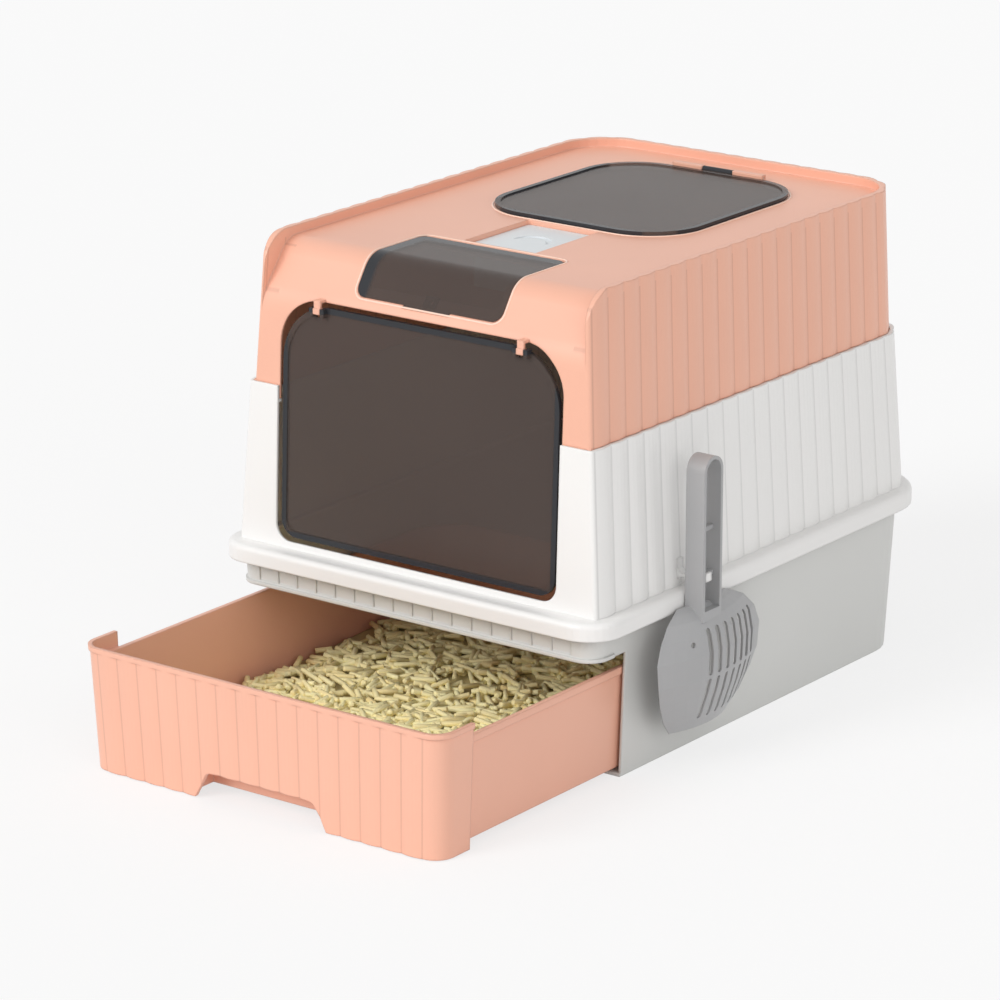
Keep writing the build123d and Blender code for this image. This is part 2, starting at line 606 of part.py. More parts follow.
def offset_corner(y, z, lean_a, lean_b, shift):
    """Corner between two faces, leaning back by the two angles, after both have moved inwards by shift."""
    reach = shift / cos((lean_b - lean_a) / 2)
    mid = (lean_a + lean_b) / 2
    return y + reach * cos(mid), z - reach * sin(mid)


def brow(shift=0.0, half_w=FLANGE_HALF_W, y_rear=FLANGE_REAR + CUT, above=True):
    """Region above or below the top panel's profile (front face, sloping brow, flat top),
    with the profile moved inwards by shift."""
    foot = offset_corner(front_face_y(SLOPE_FOOT_Z), SLOPE_FOOT_Z, HOOD_DRAFT, SLOPE, shift)
    turn = offset_corner(front_face_y(SLOPE_FOOT_Z) + SLOPE_RUN, PANEL_Z, SLOPE, pi / 2, shift)
    low_z = SHELL_TOP_Z - SKIRT_DEPTH - CUT
    low = (foot[0] - tan(HOOD_DRAFT) * (foot[1] - low_z), low_z)
    far = FLANGE_FRONT - CUT
    if above:
        outline = [(far, low_z), low, foot, turn, (y_rear, turn[1]), (y_rear, HOOD_TOP_Z + CUT),
                   (far, HOOD_TOP_Z + CUT)]
    else:
        outline = [(y_rear, low_z), low, foot, turn, (y_rear, turn[1])]
    face = make_face(Polyline(outline, close=True))
    face = fillet([face.vertices().sort_by_distance(foot)[0]], SLOPE_FOOT_R - shift)
    face = fillet([face.vertices().sort_by_distance(turn)[0]], SLOPE_TOP_R - shift)
    side_plane = Plane((-half_w, 0, 0), x_dir=(0, 1, 0), z_dir=(1, 0, 0))
    return extrude(side_plane * face, amount=2 * half_w)


def side_profile():
    """Region inside the side walls' outline, whose front top corner is rounded."""
    tangent_z = HOOD_TOP_Z - RIM_ROUND_R
    face_y = between(hood_foot, hood_head, tangent_z)[2]
    ahead = FLANGE_FRONT - CUT
    behind = FLANGE_REAR + CUT
    low_z = SHELL_TOP_Z - SKIRT_DEPTH - CUT
    chip = RIM_ROUND_R * (1 - sqrt(0.5))
    edges = [Line((0, ahead, low_z), (0, ahead, tangent_z)),
             Line((0, ahead, tangent_z), (0, face_y, tangent_z)),
             ThreePointArc((0, face_y, tangent_z), (0, face_y + chip, HOOD_TOP_Z - chip),
                           (0, face_y + RIM_ROUND_R, HOOD_TOP_Z)),
             Line((0, face_y + RIM_ROUND_R, HOOD_TOP_Z), (0, behind, HOOD_TOP_Z)),
             Line((0, behind, HOOD_TOP_Z), (0, behind, low_z)),
             Line((0, behind, low_z), (0, ahead, low_z))]
    return extrude(Pos(-FLANGE_HALF_W, 0, 0) * Face(Wire(edges)), amount=2 * FLANGE_HALF_W, dir=(1, 0, 0))


LID_HALF_W = HOOD_TOP_HALF_W - LID_SIDE
LID_REAR = HOOD_TOP_REAR - LID_REAR_GAP
LID_FRONT = LID_REAR - LID_LENGTH
CASSETTE_REAR = LID_FRONT - CASSETTE_LID_GAP
CASSETTE_FRONT = CASSETTE_REAR - CASSETTE_LENGTH
VISOR_REAR = CASSETTE_FRONT - VISOR_CASSETTE_GAP
VISOR_BOTTOM = PANEL_Z - VISOR_DROP
VISOR_CATCH_Z = VISOR_BOTTOM + VISOR_CATCH_RISE
VISOR_AXIS_Y = VISOR_REAR - VISOR_AXIS_BACK
VISOR_AXIS_Z = PANEL_Z - VISOR_AXIS_DROP
VISOR_SWING_GAP = hypot(VISOR_AXIS_BACK, VISOR_AXIS_DROP) - VISOR_AXIS_BACK + SEAT_GAP
LID_AXIS_Y = LID_REAR + HINGE_BACK
LID_AXIS_Z = PANEL_Z + HINGE_RISE + HINGE_R
FLAP_CENTRE_Z = (DOOR_BOTTOM + DOOR_TOP) / 2
HOOK_X = DOOR_HALF_W - HOOK_INSET
FLAP_AXIS_Z = DOOR_TOP - FLAP_AXIS_DROP
FLAP_AXIS_Y = front_face_y(FLAP_CENTRE_Z) + FLAP_SET_BACK + FLAP_BEAD_T / 2
COVER_TOP = PANEL_Z - COVER_DROP
BOX_RIM_Z = COVER_TOP - COVER_THICK - SEAT_GAP - BOX_RIM_T
RECESS_Z = BOX_RIM_Z - SEAT_GAP


def visor_outline(grow, bottom, rear):
    """Visor outline seen from above and from the front: the space that both allow."""
    half_w = VISOR_HALF_W + grow
    from_above = rounded_pad(half_w, FLANGE_FRONT, rear, SHELL_TOP_Z, HOOD_TOP_Z, VISOR_R)
    from_front = RectangleRounded(2 * half_w, 2 * (HOOD_TOP_Z - bottom), VISOR_R)
    front_plane = Plane((0, rear + CUT, HOOD_TOP_Z), x_dir=(1, 0, 0), z_dir=(0, -1, 0))
    return from_above & extrude(front_plane * from_front, amount=rear + CUT - FLANGE_FRONT)


def visor_area(grow, rear):
    """Visor outline with the finger tab at its lower edge."""
    tab_half_w = VISOR_TAB_HALF_W + grow
    tab = block(-tab_half_w, tab_half_w, FLANGE_FRONT, VISOR_REAR - VISOR_REAR_LEDGE - CUT,
                VISOR_BOTTOM - VISOR_TAB_DROP - grow, VISOR_BOTTOM + VISOR_LEDGE)
    return visor_outline(grow, VISOR_BOTTOM - grow, rear) + tab


def slope_plane(z):
    """Plane of the sloping brow's face, centred at height z."""
    y = front_face_y(SLOPE_FOOT_Z) + tan(SLOPE) * (z - SLOPE_FOOT_Z)
    return Plane((0, y, z), x_dir=(1, 0, 0), z_dir=(0, -cos(SLOPE), sin(SLOPE)))


def flap_hook(x):
    """Eye that holds a flap pin, on a stem and an arm from the wall over the doorway."""
    x0 = x - HOOK_W / 2
    x1 = x + HOOK_W / 2
    y0 = FLAP_AXIS_Y - WALL / 2
    eye = block(x0, x1, FLAP_AXIS_Y - HOOK_R, FLAP_AXIS_Y + HOOK_R, FLAP_AXIS_Z - HOOK_R, FLAP_AXIS_Z + HOOK_R)
    stem = block(x0, x1, y0, y0 + WALL, FLAP_AXIS_Z, DOOR_TOP + WALL)
    arm = block(x0, x1, y0, front_face_y(DOOR_TOP) + 2 * WALL, DOOR_TOP, DOOR_TOP + WALL)
    return eye + stem + arm


def hinge_spans(own):
    """X spans of the lid hinge: the hood's knuckles are the ends, the lid's lies between them."""
    cell = 2 * HINGE_HALF_L / KNUCKLES
    spans = [(-HINGE_HALF_L + cell * i, -HINGE_HALF_L + cell * (i + 1)) for i in range(KNUCKLES)]
    return [(a + KNUCKLE_GAP / 2, b - KNUCKLE_GAP / 2) for a, b in spans[0 if own == "hood" else 1::2]]


def hood_body():
    """Walls, skirt, brow and recessed top, with the thicker frame round the visor and under the deodorizer."""
    foot_z = SHELL_TOP_Z - SKIRT_DEPTH
    wall = tapered(hood_foot, hood_head, SHELL_TOP_Z + SEAT_GAP, HOOD_TOP_Z, side_reeds=SIDE_REEDS)
    wall += tapered(shell_foot, shell_head, foot_z, SHELL_TOP_Z + 1, inset=WALL + NEST_FIT)
    wall &= side_profile()
    cavity = tapered(hood_foot, hood_head, foot_z - CUT, HOOD_TOP_Z, inset=WALL)
    cavity -= brow(WALL)
    frame_half_w = VISOR_HALF_W + VISOR_GAP + VISOR_SOCKET_W
    frame_rear = CASSETTE_FRONT - WALL / 2
    frame_zone = block(-frame_half_w - 1, frame_half_w + 1, FLANGE_FRONT, frame_rear + 1, DOOR_TOP + WALL, HOOD_TOP_Z)
    cavity -= brow(2 * WALL, frame_half_w, frame_rear) & frame_zone
    pan_half_w = CASSETTE_HALF_W + WALL
    cavity -= block(-pan_half_w, pan_half_w, CASSETTE_FRONT - WALL, CASSETTE_REAR + WALL, RECESS_Z - WALL, HOOD_TOP_Z)
    open_foot = section(*hood_foot[:2], hood_foot[2] - CUT, *hood_foot[3:])
    open_head = section(*hood_head[:2], hood_head[2] - CUT, *hood_head[3:])
    recess = brow() & tapered(open_foot, open_head, SLOPE_FOOT_Z - CUT, HOOD_TOP_Z + CUT, inset=RIM_W)
    return wall - cavity - recess


def top_hood():
    hood = hood_body()
    swing_edge = VISOR_REAR + VISOR_SWING_GAP
    visor_side = VISOR_HALF_W + VISOR_GAP
    for side in (-1, 1):
        x0, x1 = sorted((side * (visor_side + SEAT_GAP), side * (visor_side + VISOR_SOCKET_W - SEAT_GAP)))
        hood += block(x0, x1, VISOR_AXIS_Y - VISOR_TRENCH, VISOR_AXIS_Y + VISOR_TRENCH,
                      VISOR_AXIS_Z - VISOR_SOCKET_H / 2, PANEL_Z - WALL / 2)
    hood -= brow(WALL) & visor_area(VISOR_GAP, swing_edge)
    hood -= visor_outline(-VISOR_LEDGE, VISOR_BOTTOM + VISOR_LEDGE, VISOR_REAR - VISOR_REAR_LEDGE)
    hood -= block(-visor_side, visor_side, VISOR_AXIS_Y - VISOR_TRENCH, swing_edge, SHELL_TOP_Z, PANEL_Z)
    pin_reach = visor_side + VISOR_SOCKET_W - WALL / 2
    hood -= rod_x(VISOR_PIN_R + PIN_FIT, -pin_reach, pin_reach, VISOR_AXIS_Y, VISOR_AXIS_Z)
    catch_gap = VISOR_CATCH_W / 2 + NEST_FIT
    hood -= slope_plane(VISOR_CATCH_Z) * Box(2 * catch_gap, VISOR_CATCH_H + 4 * NEST_FIT, CUT)

    hood -= rounded_pad(CASSETTE_HALF_W, CASSETTE_FRONT, CASSETTE_REAR, RECESS_Z, HOOD_TOP_Z, CASSETTE_R)
    hood -= rounded_pad(CASSETTE_HALF_W - BOX_RIM_W, CASSETTE_FRONT + BOX_RIM_W, CASSETTE_REAR - BOX_RIM_W,
                        RECESS_Z - CUT, RECESS_Z + 1, CASSETTE_R)

    hood -= rounded_pad(LID_HALF_W - LID_OVERLAP, LID_FRONT + LID_OVERLAP, LID_REAR - LID_OVERLAP,
                        PANEL_Z - CUT, PANEL_Z + CUT, LID_R - LID_OVERLAP)
    for x0, x1 in hinge_spans("hood"):
        hood += block(x0, x1, LID_AXIS_Y - HINGE_R, LID_AXIS_Y + HINGE_R, PANEL_Z - WALL / 2, LID_AXIS_Z + HINGE_R)
    hood -= rod_x(LID_PIN_R + PIN_FIT, -HINGE_HALF_L - 1, HINGE_HALF_L + 1, LID_AXIS_Y, LID_AXIS_Z)

    hood -= doorway(0, DOOR_CUT_REAR, FLANGE_FRONT - CUT)
    for side in (-1, 1):
        hood += flap_hook(side * HOOK_X)
    hood -= rod_x(FLAP_PIN_R + PIN_FIT, -DOOR_HALF_W, DOOR_HALF_W, FLAP_AXIS_Y, FLAP_AXIS_Z)
    return hood


# ======================================================================================================
# flap
# ======================================================================================================

def front_flap():
    """Clear flap parallel to the front face, with a bead round its edge and a pin behind each hook."""
    lean = (SHELL_TOP_FRONT - SHELL_FOOT_FRONT) / (SHELL_TOP_Z - FLANGE_TOP)
    ahead = FLANGE_FRONT - CUT
    face_y = front_face_y(FLANGE_TOP)

    def leaf(offset, thick):
        y0 = face_y + FLAP_SET_BACK + offset
        rise = DOOR_TOP + CUT - FLANGE_TOP
        return along_x([(y0, FLANGE_TOP), (y0 + thick, FLANGE_TOP), (y0 + thick + lean * rise, FLANGE_TOP + rise),
                        (y0 + lean * rise, FLANGE_TOP + rise)], -DOOR_HALF_W, DOOR_HALF_W)

    edge = doorway(FLAP_GAP, DOOR_CUT_REAR, ahead, FLAP_TOP_R, FLAP_BOTTOM_R)
    middle = doorway(FLAP_GAP + FLAP_BEAD_W, DOOR_CUT_REAR, ahead, FLAP_TOP_R, FLAP_BOTTOM_R)
    flap = (leaf(0, FLAP_BEAD_T) & edge) - middle
    flap += leaf((FLAP_BEAD_T - FLAP_THICK) / 2, FLAP_THICK) & edge
    for side in (-1, 1):
        x = side * HOOK_X
        span = HOOK_W / 2 + LUG_GAP
        flap -= block(x - span, x + span, ahead, DOOR_CUT_REAR, DOOR_TOP - FLAP_GAP - NOTCH_H, DOOR_TOP)
        plate_y = face_y + FLAP_SET_BACK + FLAP_BEAD_T / 2 + lean * (FLAP_AXIS_Z - FLANGE_TOP)
        for end in (-1, 1):
            lug = x + end * (span + LUG_W / 2)
            flap += block(lug - LUG_W / 2, lug + LUG_W / 2, FLAP_AXIS_Y - LUG_R, plate_y,
                          FLAP_AXIS_Z - LUG_ROOT, FLAP_AXIS_Z + LUG_R)
        flap += rod_x(FLAP_PIN_R, x - span - LUG_W, x + span + LUG_W, FLAP_AXIS_Y, FLAP_AXIS_Z)
    return flap


# ======================================================================================================
# top lid
# ======================================================================================================

LID_Z = PANEL_Z + SEAT_GAP


def top_lid():
    lid = rounded_pad(LID_HALF_W, LID_FRONT, LID_REAR, LID_Z, LID_Z + LID_THICK + LID_BEAD_H, LID_R)
    lid -= rounded_pad(LID_HALF_W - LID_BEAD_W, LID_FRONT + LID_BEAD_W, LID_REAR - LID_BEAD_W,
                       LID_Z + LID_THICK, LID_Z + CUT, LID_R - LID_BEAD_W)
    for x0, x1 in hinge_spans("lid"):
        lid += block(x0, x1, LID_REAR - LID_BEAD_W, LID_AXIS_Y, LID_AXIS_Z - HINGE_R + HINGE_RISE,
                     LID_Z + LID_THICK + LID_BEAD_H)
        lid += rod_x(HINGE_R, x0, x1, LID_AXIS_Y, LID_AXIS_Z)
    lid -= rod_x(LID_PIN_R + PIN_FIT, -HINGE_HALF_L, HINGE_HALF_L, LID_AXIS_Y, LID_AXIS_Z)
    return lid


def lid_hinge_pin():
    return rod_x(LID_PIN_R, -HINGE_HALF_L + KNUCKLE_GAP, HINGE_HALF_L - KNUCKLE_GAP, LID_AXIS_Y, LID_AXIS_Z)


def lid_catch():
    """Finger nub under the front edge of the lid."""
    return block(-CATCH_W / 2, CATCH_W / 2, LID_FRONT + LID_OVERLAP + NEST_FIT,
                 LID_FRONT + LID_OVERLAP + NEST_FIT + CATCH_L, PANEL_Z - 2 * WALL, LID_Z)


# ======================================================================================================
# visor
# ======================================================================================================

VISOR_EAR_SPANS = [sorted((side * (VISOR_HALF_W - SEAT_GAP), side * (VISOR_HALF_W - SEAT_GAP - VISOR_EAR_W)))
                   for side in (-1, 1)]


def front_visor():
    """Curved sheet over the window in the brow, with an ear for each hinge pin under its rear edge."""
    visor = brow(0.0, above=False) - brow(WALL - SEAT_GAP, above=False)
    visor &= visor_area(0, VISOR_REAR)
    for x0, x1 in VISOR_EAR_SPANS:
        visor += block(x0, x1, VISOR_AXIS_Y - VISOR_EAR_R, VISOR_AXIS_Y + VISOR_EAR_R,
                       VISOR_AXIS_Z - VISOR_EAR_R, PANEL_Z - WALL / 2)
    return visor - rod_x(VISOR_PIN_R + PIN_FIT, -VISOR_HALF_W, VISOR_HALF_W, VISOR_AXIS_Y, VISOR_AXIS_Z)


def visor_hinge_pins():
    outer = VISOR_HALF_W + VISOR_GAP + VISOR_SOCKET_W - WALL
    inner = VISOR_HALF_W - SEAT_GAP - VISOR_EAR_W
    return Compound(children=[rod_x(VISOR_PIN_R, *sorted((side * inner, side * outer)), VISOR_AXIS_Y, VISOR_AXIS_Z)
                              for side in (-1, 1)])


def visor_catch():
    """Eye-shaped clip behind the visor's lower edge."""
    depth = WALL - SEAT_GAP / 2
    clip = Pos(0, 0, -depth - VISOR_CATCH_T / 2) * Box(VISOR_CATCH_W, VISOR_CATCH_H, VISOR_CATCH_T)
    return slope_plane(VISOR_CATCH_Z) * (clip - Cylinder(VISOR_CATCH_HOLE_R, CUT))


# ======================================================================================================
# deodorizer
# ======================================================================================================

def deodorizer_cover():
    cover = rounded_pad(CASSETTE_HALF_W - CASSETTE_GAP, CASSETTE_FRONT + CASSETTE_GAP, CASSETTE_REAR - CASSETTE_GAP,
                        COVER_TOP - COVER_THICK, COVER_TOP, CASSETTE_R)
    centre_y = (CASSETTE_FRONT + CASSETTE_REAR) / 2
    grip = Pos(0, centre_y, COVER_TOP - GRIP_DEPTH) * Circle(GRIP_R)
    grip -= Pos(0, centre_y - GRIP_W, COVER_TOP - GRIP_DEPTH) * Circle(GRIP_R)
    return cover - extrude(grip, amount=GRIP_DEPTH + 1, dir=(0, 0, 1))


def deodorizer_box():
    half_w = CASSETTE_HALF_W - BOX_RIM_W - CASSETTE_GAP
    front = CASSETTE_FRONT + BOX_RIM_W + CASSETTE_GAP
    rear = CASSETTE_REAR - BOX_RIM_W - CASSETTE_GAP
    top = BOX_RIM_Z + BOX_RIM_T
    floor_z = top - BOX_DEPTH
    box = rounded_pad(CASSETTE_HALF_W - CASSETTE_GAP, CASSETTE_FRONT + CASSETTE_GAP, CASSETTE_REAR - CASSETTE_GAP,
                      BOX_RIM_Z, top, CASSETTE_R)
    box += block(-half_w, half_w, front, rear, floor_z, top)
    box -= block(-half_w + BOX_WALL, half_w - BOX_WALL, front + BOX_WALL, rear - BOX_WALL,
                 floor_z + BOX_WALL, top + 1)
    step = (rear - front) / (BOX_SLOTS + 1)
    for i in range(BOX_SLOTS):
        y = front + step * (i + 1)
        box -= Pos(0, y, floor_z) * Box(2 * (half_w - BOX_SLOT_W), BOX_SLOT_W, 4 * BOX_WALL)
    return box


def deodorizer_block():
    clear = BOX_RIM_W + CASSETTE_GAP + BOX_WALL + SEAT_GAP
    floor_z = BOX_RIM_Z + BOX_RIM_T - BOX_DEPTH + BOX_WALL + SEAT_GAP
    cake = block(-CASSETTE_HALF_W + clear, CASSETTE_HALF_W - clear, CASSETTE_FRONT + clear, CASSETTE_REAR - clear,
                 floor_z, floor_z + BLOCK_H)
    return chamfer(cake.faces().sort_by(Axis.Z)[-1].edges(), BLOCK_CHAMFER)


# ======================================================================================================
# scoop
# ======================================================================================================

BLADE_TOP = LOWER_BAR_Z - BLADE_DROP


def blade_level(drop, half_w, rim, inset):
    """Outline of the blade at one level: strips bowed outwards between its side rims."""
    half = half_w - inset
    rim_x = SCOOP_BACK_X + rim - inset * (1 - BLADE_BOW)
    points = []
    for i in range(BLADE_STRIPS + 1):
        share = 2 * i / BLADE_STRIPS - 1
        points.append((rim_x + BLADE_BOW * half * (1 - share ** 2), BLADE_Y + half * share, BLADE_TOP - drop))
    if inset:
        points += [(rim_x - CUT, y, z) for x, y, z in (points[-1], points[0])]
    return points


def blade_form(inset=0.0):
    """Closed form of the blade's outer side or, with an inset, of the hollow behind it."""
    lowest = BLADE_LEVELS[-1][0] - inset
    return flat_sided([blade_level(min(max(drop, inset), lowest), half_w, rim, inset)
                       for drop, half_w, rim in BLADE_LEVELS])


def blade_slot(y, width, drop, length):
    """Prism through the blade for one slot, with its corners taken off."""
    prism = block(SCOOP_BACK_X + BLADE_WALL, SCOOP_BACK_X + CUT, y - width / 2, y + width / 2,
                  BLADE_TOP - drop - length, BLADE_TOP - drop)
    return chamfer(prism.edges().filter_by(Axis.X), SLOT_CORNER * width)


def litter_scoop():
    scoop = blade_form()
    back = SCOOP_BACK_X
    front = back + HANDLE_DEEP
    handle_foot = LOWER_BAR_Z - HANDLE_ROOT
    arch_z = LOWER_BAR_Z + HANDLE_RISE - HANDLE_W / 2
    plane = Plane((back, SCOOP_Y, 0), x_dir=(0, 1, 0), z_dir=(1, 0, 0))
    outer = Pos(0, (handle_foot + arch_z) / 2) * Rectangle(HANDLE_W, arch_z - handle_foot)
    outer += Pos(0, arch_z) * Circle(HANDLE_W / 2)
    inner_w = HANDLE_W - 2 * HANDLE_T
    inner_foot = BLADE_TOP - HANDLE_T
    inner = Pos(0, (inner_foot + arch_z) / 2) * Rectangle(inner_w, arch_z - inner_foot)
    inner += Pos(0, arch_z) * Circle(inner_w / 2)
    scoop += extrude(plane * (outer - inner), amount=HANDLE_DEEP)
    scoop -= blade_form(BLADE_WALL)
    bar_x = (back + front) / 2
    for bar_z in (LOWER_BAR_Z, LOWER_BAR_Z + BAR_STEP):
        scoop += block(bar_x - BAR_H / 2, bar_x + BAR_H / 2, SCOOP_Y - HANDLE_W / 2 + HANDLE_T / 2,
                       SCOOP_Y + HANDLE_W / 2 - HANDLE_T / 2, bar_z, bar_z + BAR_H)
    first = BLADE_Y + SLOT_SHIFT - SLOT_PITCH * (SLOTS - 1) / 2
    lower_top = SLOT_TOP + SLOT_LENGTH + CREASE_H
    for i in range(SLOTS):
        y = first + SLOT_PITCH * i
        scoop -= blade_slot(y, SLOT_W, SLOT_TOP, SLOT_LENGTH)
        scoop -= blade_slot(y, LOWER_SLOT_W, lower_top, LOWER_SLOT_LENGTH)
    return scoop - rod_x(SCOOP_HOLE_R, back, back + CUT, BLADE_Y - SCOOP_HOLE_SHIFT, BLADE_TOP - SCOOP_HOLE_DROP)


# ======================================================================================================
# all pieces
# ======================================================================================================

PIECES = {
    "base_tub": base_tub,
    "drawer_tray": drawer_tray,
    "litter_bed": litter_bed,
    "middle_shell": middle_shell,
    "top_hood": top_hood,
    "front_flap": front_flap,
    "top_lid": top_lid,
    "lid_hinge_pin": lid_hinge_pin,
    "lid_catch": lid_catch,
    "front_visor": front_visor,
    "visor_catch": visor_catch,
    "visor_hinge_pins": visor_hinge_pins,
    "deodorizer_cover": deodorizer_cover,
    "deodorizer_box": deodorizer_box,
    "deodorizer_block": deodorizer_block,
    "litter_scoop": litter_scoop,
}

os.makedirs("parts", exist_ok=True)
for name, make in PIECES.items():
    export_step(make(), f"parts/{name}.step")
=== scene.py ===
import bpy
from math import cos, pi, radians, sin

import numpy as np
from bpy.props import FloatProperty, FloatVectorProperty, IntProperty, PointerProperty
from mathutils import Matrix, Vector


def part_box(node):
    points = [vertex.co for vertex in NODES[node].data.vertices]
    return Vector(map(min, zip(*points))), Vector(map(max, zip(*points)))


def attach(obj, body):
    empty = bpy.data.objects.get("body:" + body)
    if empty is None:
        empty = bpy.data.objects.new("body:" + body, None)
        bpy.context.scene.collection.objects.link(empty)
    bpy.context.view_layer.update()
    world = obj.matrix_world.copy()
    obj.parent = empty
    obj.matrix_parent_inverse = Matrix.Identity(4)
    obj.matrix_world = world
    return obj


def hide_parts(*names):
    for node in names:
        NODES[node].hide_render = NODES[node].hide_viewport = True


bl_info = {
    "name": "Drawer litter box",
    "version": (1, 0, 0),
    "blender": (4, 5, 0),
    "location": "View3D > Sidebar > Litter box",
    "description": "Dresses the drawer litter box: moulded plastic, smoked covers, litter pellets, and its studio stage",
    "category": "Object",
}

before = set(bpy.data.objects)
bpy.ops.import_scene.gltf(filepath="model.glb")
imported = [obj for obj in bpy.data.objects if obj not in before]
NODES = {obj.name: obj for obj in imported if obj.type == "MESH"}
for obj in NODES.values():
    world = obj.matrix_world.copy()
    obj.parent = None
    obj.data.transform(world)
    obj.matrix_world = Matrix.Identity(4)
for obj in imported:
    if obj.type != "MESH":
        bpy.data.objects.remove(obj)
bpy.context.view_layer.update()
MM = 0.001


# ---- settings -----------------------------------------------------------------------------------

def colour(name, description, default):
    return FloatVectorProperty(name=name, description=description, default=default, subtype="COLOR",
                               size=3, min=0.0, max=1.0)


def length(name, description, millimetres):
    return FloatProperty(name=name, description=description, default=millimetres * MM, unit="LENGTH",
                         subtype="DISTANCE")


def share(name, description, default):
    return FloatProperty(name=name, description=description, default=default, subtype="FACTOR")


class StageSettings(bpy.types.PropertyGroup):
    """Camera, lamps and floor."""
    azimuth: FloatProperty(name="Azimuth", description="Camera's turn to the object's right", default=radians(36.7),
                           subtype="ANGLE", unit="ROTATION")
    elevation: FloatProperty(name="Elevation", description="Camera's height angle", default=radians(17.3),
                             subtype="ANGLE", unit="ROTATION")
    distance: length("Distance", "From the aim point to the camera", 4098.4)
    aim: FloatVectorProperty(name="Aim", description="Point at the image's centre",
                             default=(-0.05885, -0.04387, 0.1584), subtype="TRANSLATION", unit="LENGTH")
    lens: FloatProperty(name="Lens", description="Focal length on a 36 mm sensor", default=166.5, unit="CAMERA")
    floor: colour("Floor", "Colour of the floor and the background", (0.93, 0.93, 0.93))
    key: FloatProperty(name="Key", description="Strength of the front lamp, seen as a sun", default=1.5)
    fill: FloatProperty(name="Fill", description="Strength of the light from all round", default=0.57)
    sheen: FloatProperty(name="Sheen", description="Brightness of the studio in reflections", default=0.88)


class PlasticSettings(bpy.types.PropertyGroup):
    """Colours of the moulded pieces."""
    pink: colour("Pink", "Hood and drawer", (0.87, 0.465, 0.335))
    white: colour("White", "Middle shell", (0.86, 0.85, 0.835))
    grey: colour("Grey", "Base tub", (0.68, 0.68, 0.66))
    scoop: colour("Scoop", "Scoop", (0.40, 0.40, 0.405))
    pale: colour("Pale", "Deodorizer cover and box", (0.74, 0.78, 0.80))
    dark: colour("Dark", "Visor's catch", (0.02, 0.019, 0.018))
    grain: length("Grain", "Size of the moulded surface grain", 0.5)
    edge: length("Edge", "Radius that the edges of small pieces seem to have", 0.7)
    housing_edge: length("Housing edge", "The same on the housing, which also rounds its reeds", 2.2)
    # strength of the painted shade along the grooves between the reeds
    painted_groove_shade: share("Groove", "How dark the lines between the reeds are", 0.27)
    # lighter pink than the hood: a painted highlight on the rounded bead
    lip_highlight: colour("Lip", "Bead round the visor's and the lid's openings", (0.98, 0.68, 0.55))
    lip_radius: length("Lip radius", "Half the width of that bead", 0.9)


class SmokeSettings(bpy.types.PropertyGroup):
    """Clear smoky covers."""
    tint: colour("Tint", "Colour of the smoky plastic", (0.090, 0.068, 0.060))
    # border colour: the cover's denser edge, with a bluish tint that is a painted reflection
    border: colour("Border", "Colour of the covers' borders", (0.035, 0.037, 0.042))
    hold: share("Density", "How much of what lies behind is hidden", 0.68)
    border_hold: share("Border density", "The same at the borders", 0.96)


class LitterSettings(bpy.types.PropertyGroup):
    """Litter in the drawer."""
    radius: length("Pellet radius", "Radius of a pellet", 2.4)
    shortest: length("Shortest", "Length of the shortest pellet", 13.0)
    longest: length("Longest", "Length of the longest pellet", 26.0)
    pale: colour("Pale pellet", "Colour of the palest pellets", (1.0, 0.93, 0.54))
    deep: colour("Deep pellet", "Colour of the darkest pellets", (0.95, 0.76, 0.36))
    drop: length("Drop", "Litter's mean level below its highest heaps", 3.6)
    inset: length("Inset", "Of the bed from the drawer's walls", 1.2)
    front_corner: length("Front corner", "Radius of the bed's front corners", 15.3)
    rear_corner: length("Rear corner", "Radius of the bed's rear corners", 41.5)
    pocket: length("Pocket", "Half the width of the hand pocket that the bed leaves free", 71.7)
    pocket_depth: length("Pocket depth", "How far that pocket reaches back", 23.0)
    front_count: IntProperty(name="Front count", description="Pellets on each half of the bed's front part",
                             default=1300)
    rear_count: IntProperty(name="Rear count", description="Pellets on the rest of the bed", default=1300)
    seed: IntProperty(name="Seed", description="Start of the random numbers", default=7)


# ---- node materials --------------------------------------------------------------------------------

class Nodes:
    """Short hand for building the node tree of a material, or of a world."""

    def __init__(self, name, store=None, out="ShaderNodeOutputMaterial"):
        self.owner = (bpy.data.materials if store is None else store).new(name)
        self.owner.use_nodes = True
        self.tree = self.owner.node_tree
        self.tree.nodes.clear()
        self.out = self.add(out)

    def add(self, kind, inputs=None, **fields):
        node = self.tree.nodes.new(kind)
        for key, value in fields.items():
            setattr(node, key, value)
        for key, value in (inputs or {}).items():
            if isinstance(value, bpy.types.NodeSocket):
                self.tree.links.new(value, node.inputs[key])
            else:
                node.inputs[key].default_value = value
        return node

    def coords(self):
        return self.add("ShaderNodeTexCoord").outputs["Object"]

    def sum(self, operation, a, b=0.0, clamp=False):
        return self.add("ShaderNodeMath", {0: a, 1: b}, operation=operation, use_clamp=clamp).outputs[0]

    def blend(self, share, a, b):
        node = self.add("ShaderNodeMix", data_type="RGBA")
        for index, value in ((0, share), (6, a), (7, b)):
            if isinstance(value, bpy.types.NodeSocket):
                self.tree.links.new(value, node.inputs[index])
            else:
                node.inputs[index].default_value = value
        return node.outputs[2]

    def noise(self, scale, detail=2.0, coords=None):
        inputs = {"Vector": coords or self.coords(), "Scale": scale, "Detail": detail}
        return self.add("ShaderNodeTexNoise", inputs).outputs["Fac"]

    def between(self, factor, low, high):
        """low where the factor is 0, high where it is 1."""
        return self.add("ShaderNodeMapRange", {0: factor, 3: low, 4: high}).outputs[0]

    def finish(self, shader):
        self.tree.links.new(shader, self.out.inputs["Surface"])
        return self.owner


def rgba(rgb, gain=1.0):
    return (min(rgb[0] * gain, 1), min(rgb[1] * gain, 1), min(rgb[2] * gain, 1), 1.0)


LINE_CORE = 0.02                    # half widths of a painted groove shade line's full strength and of its faded edge, in reeds
LINE_FADE = 0.055


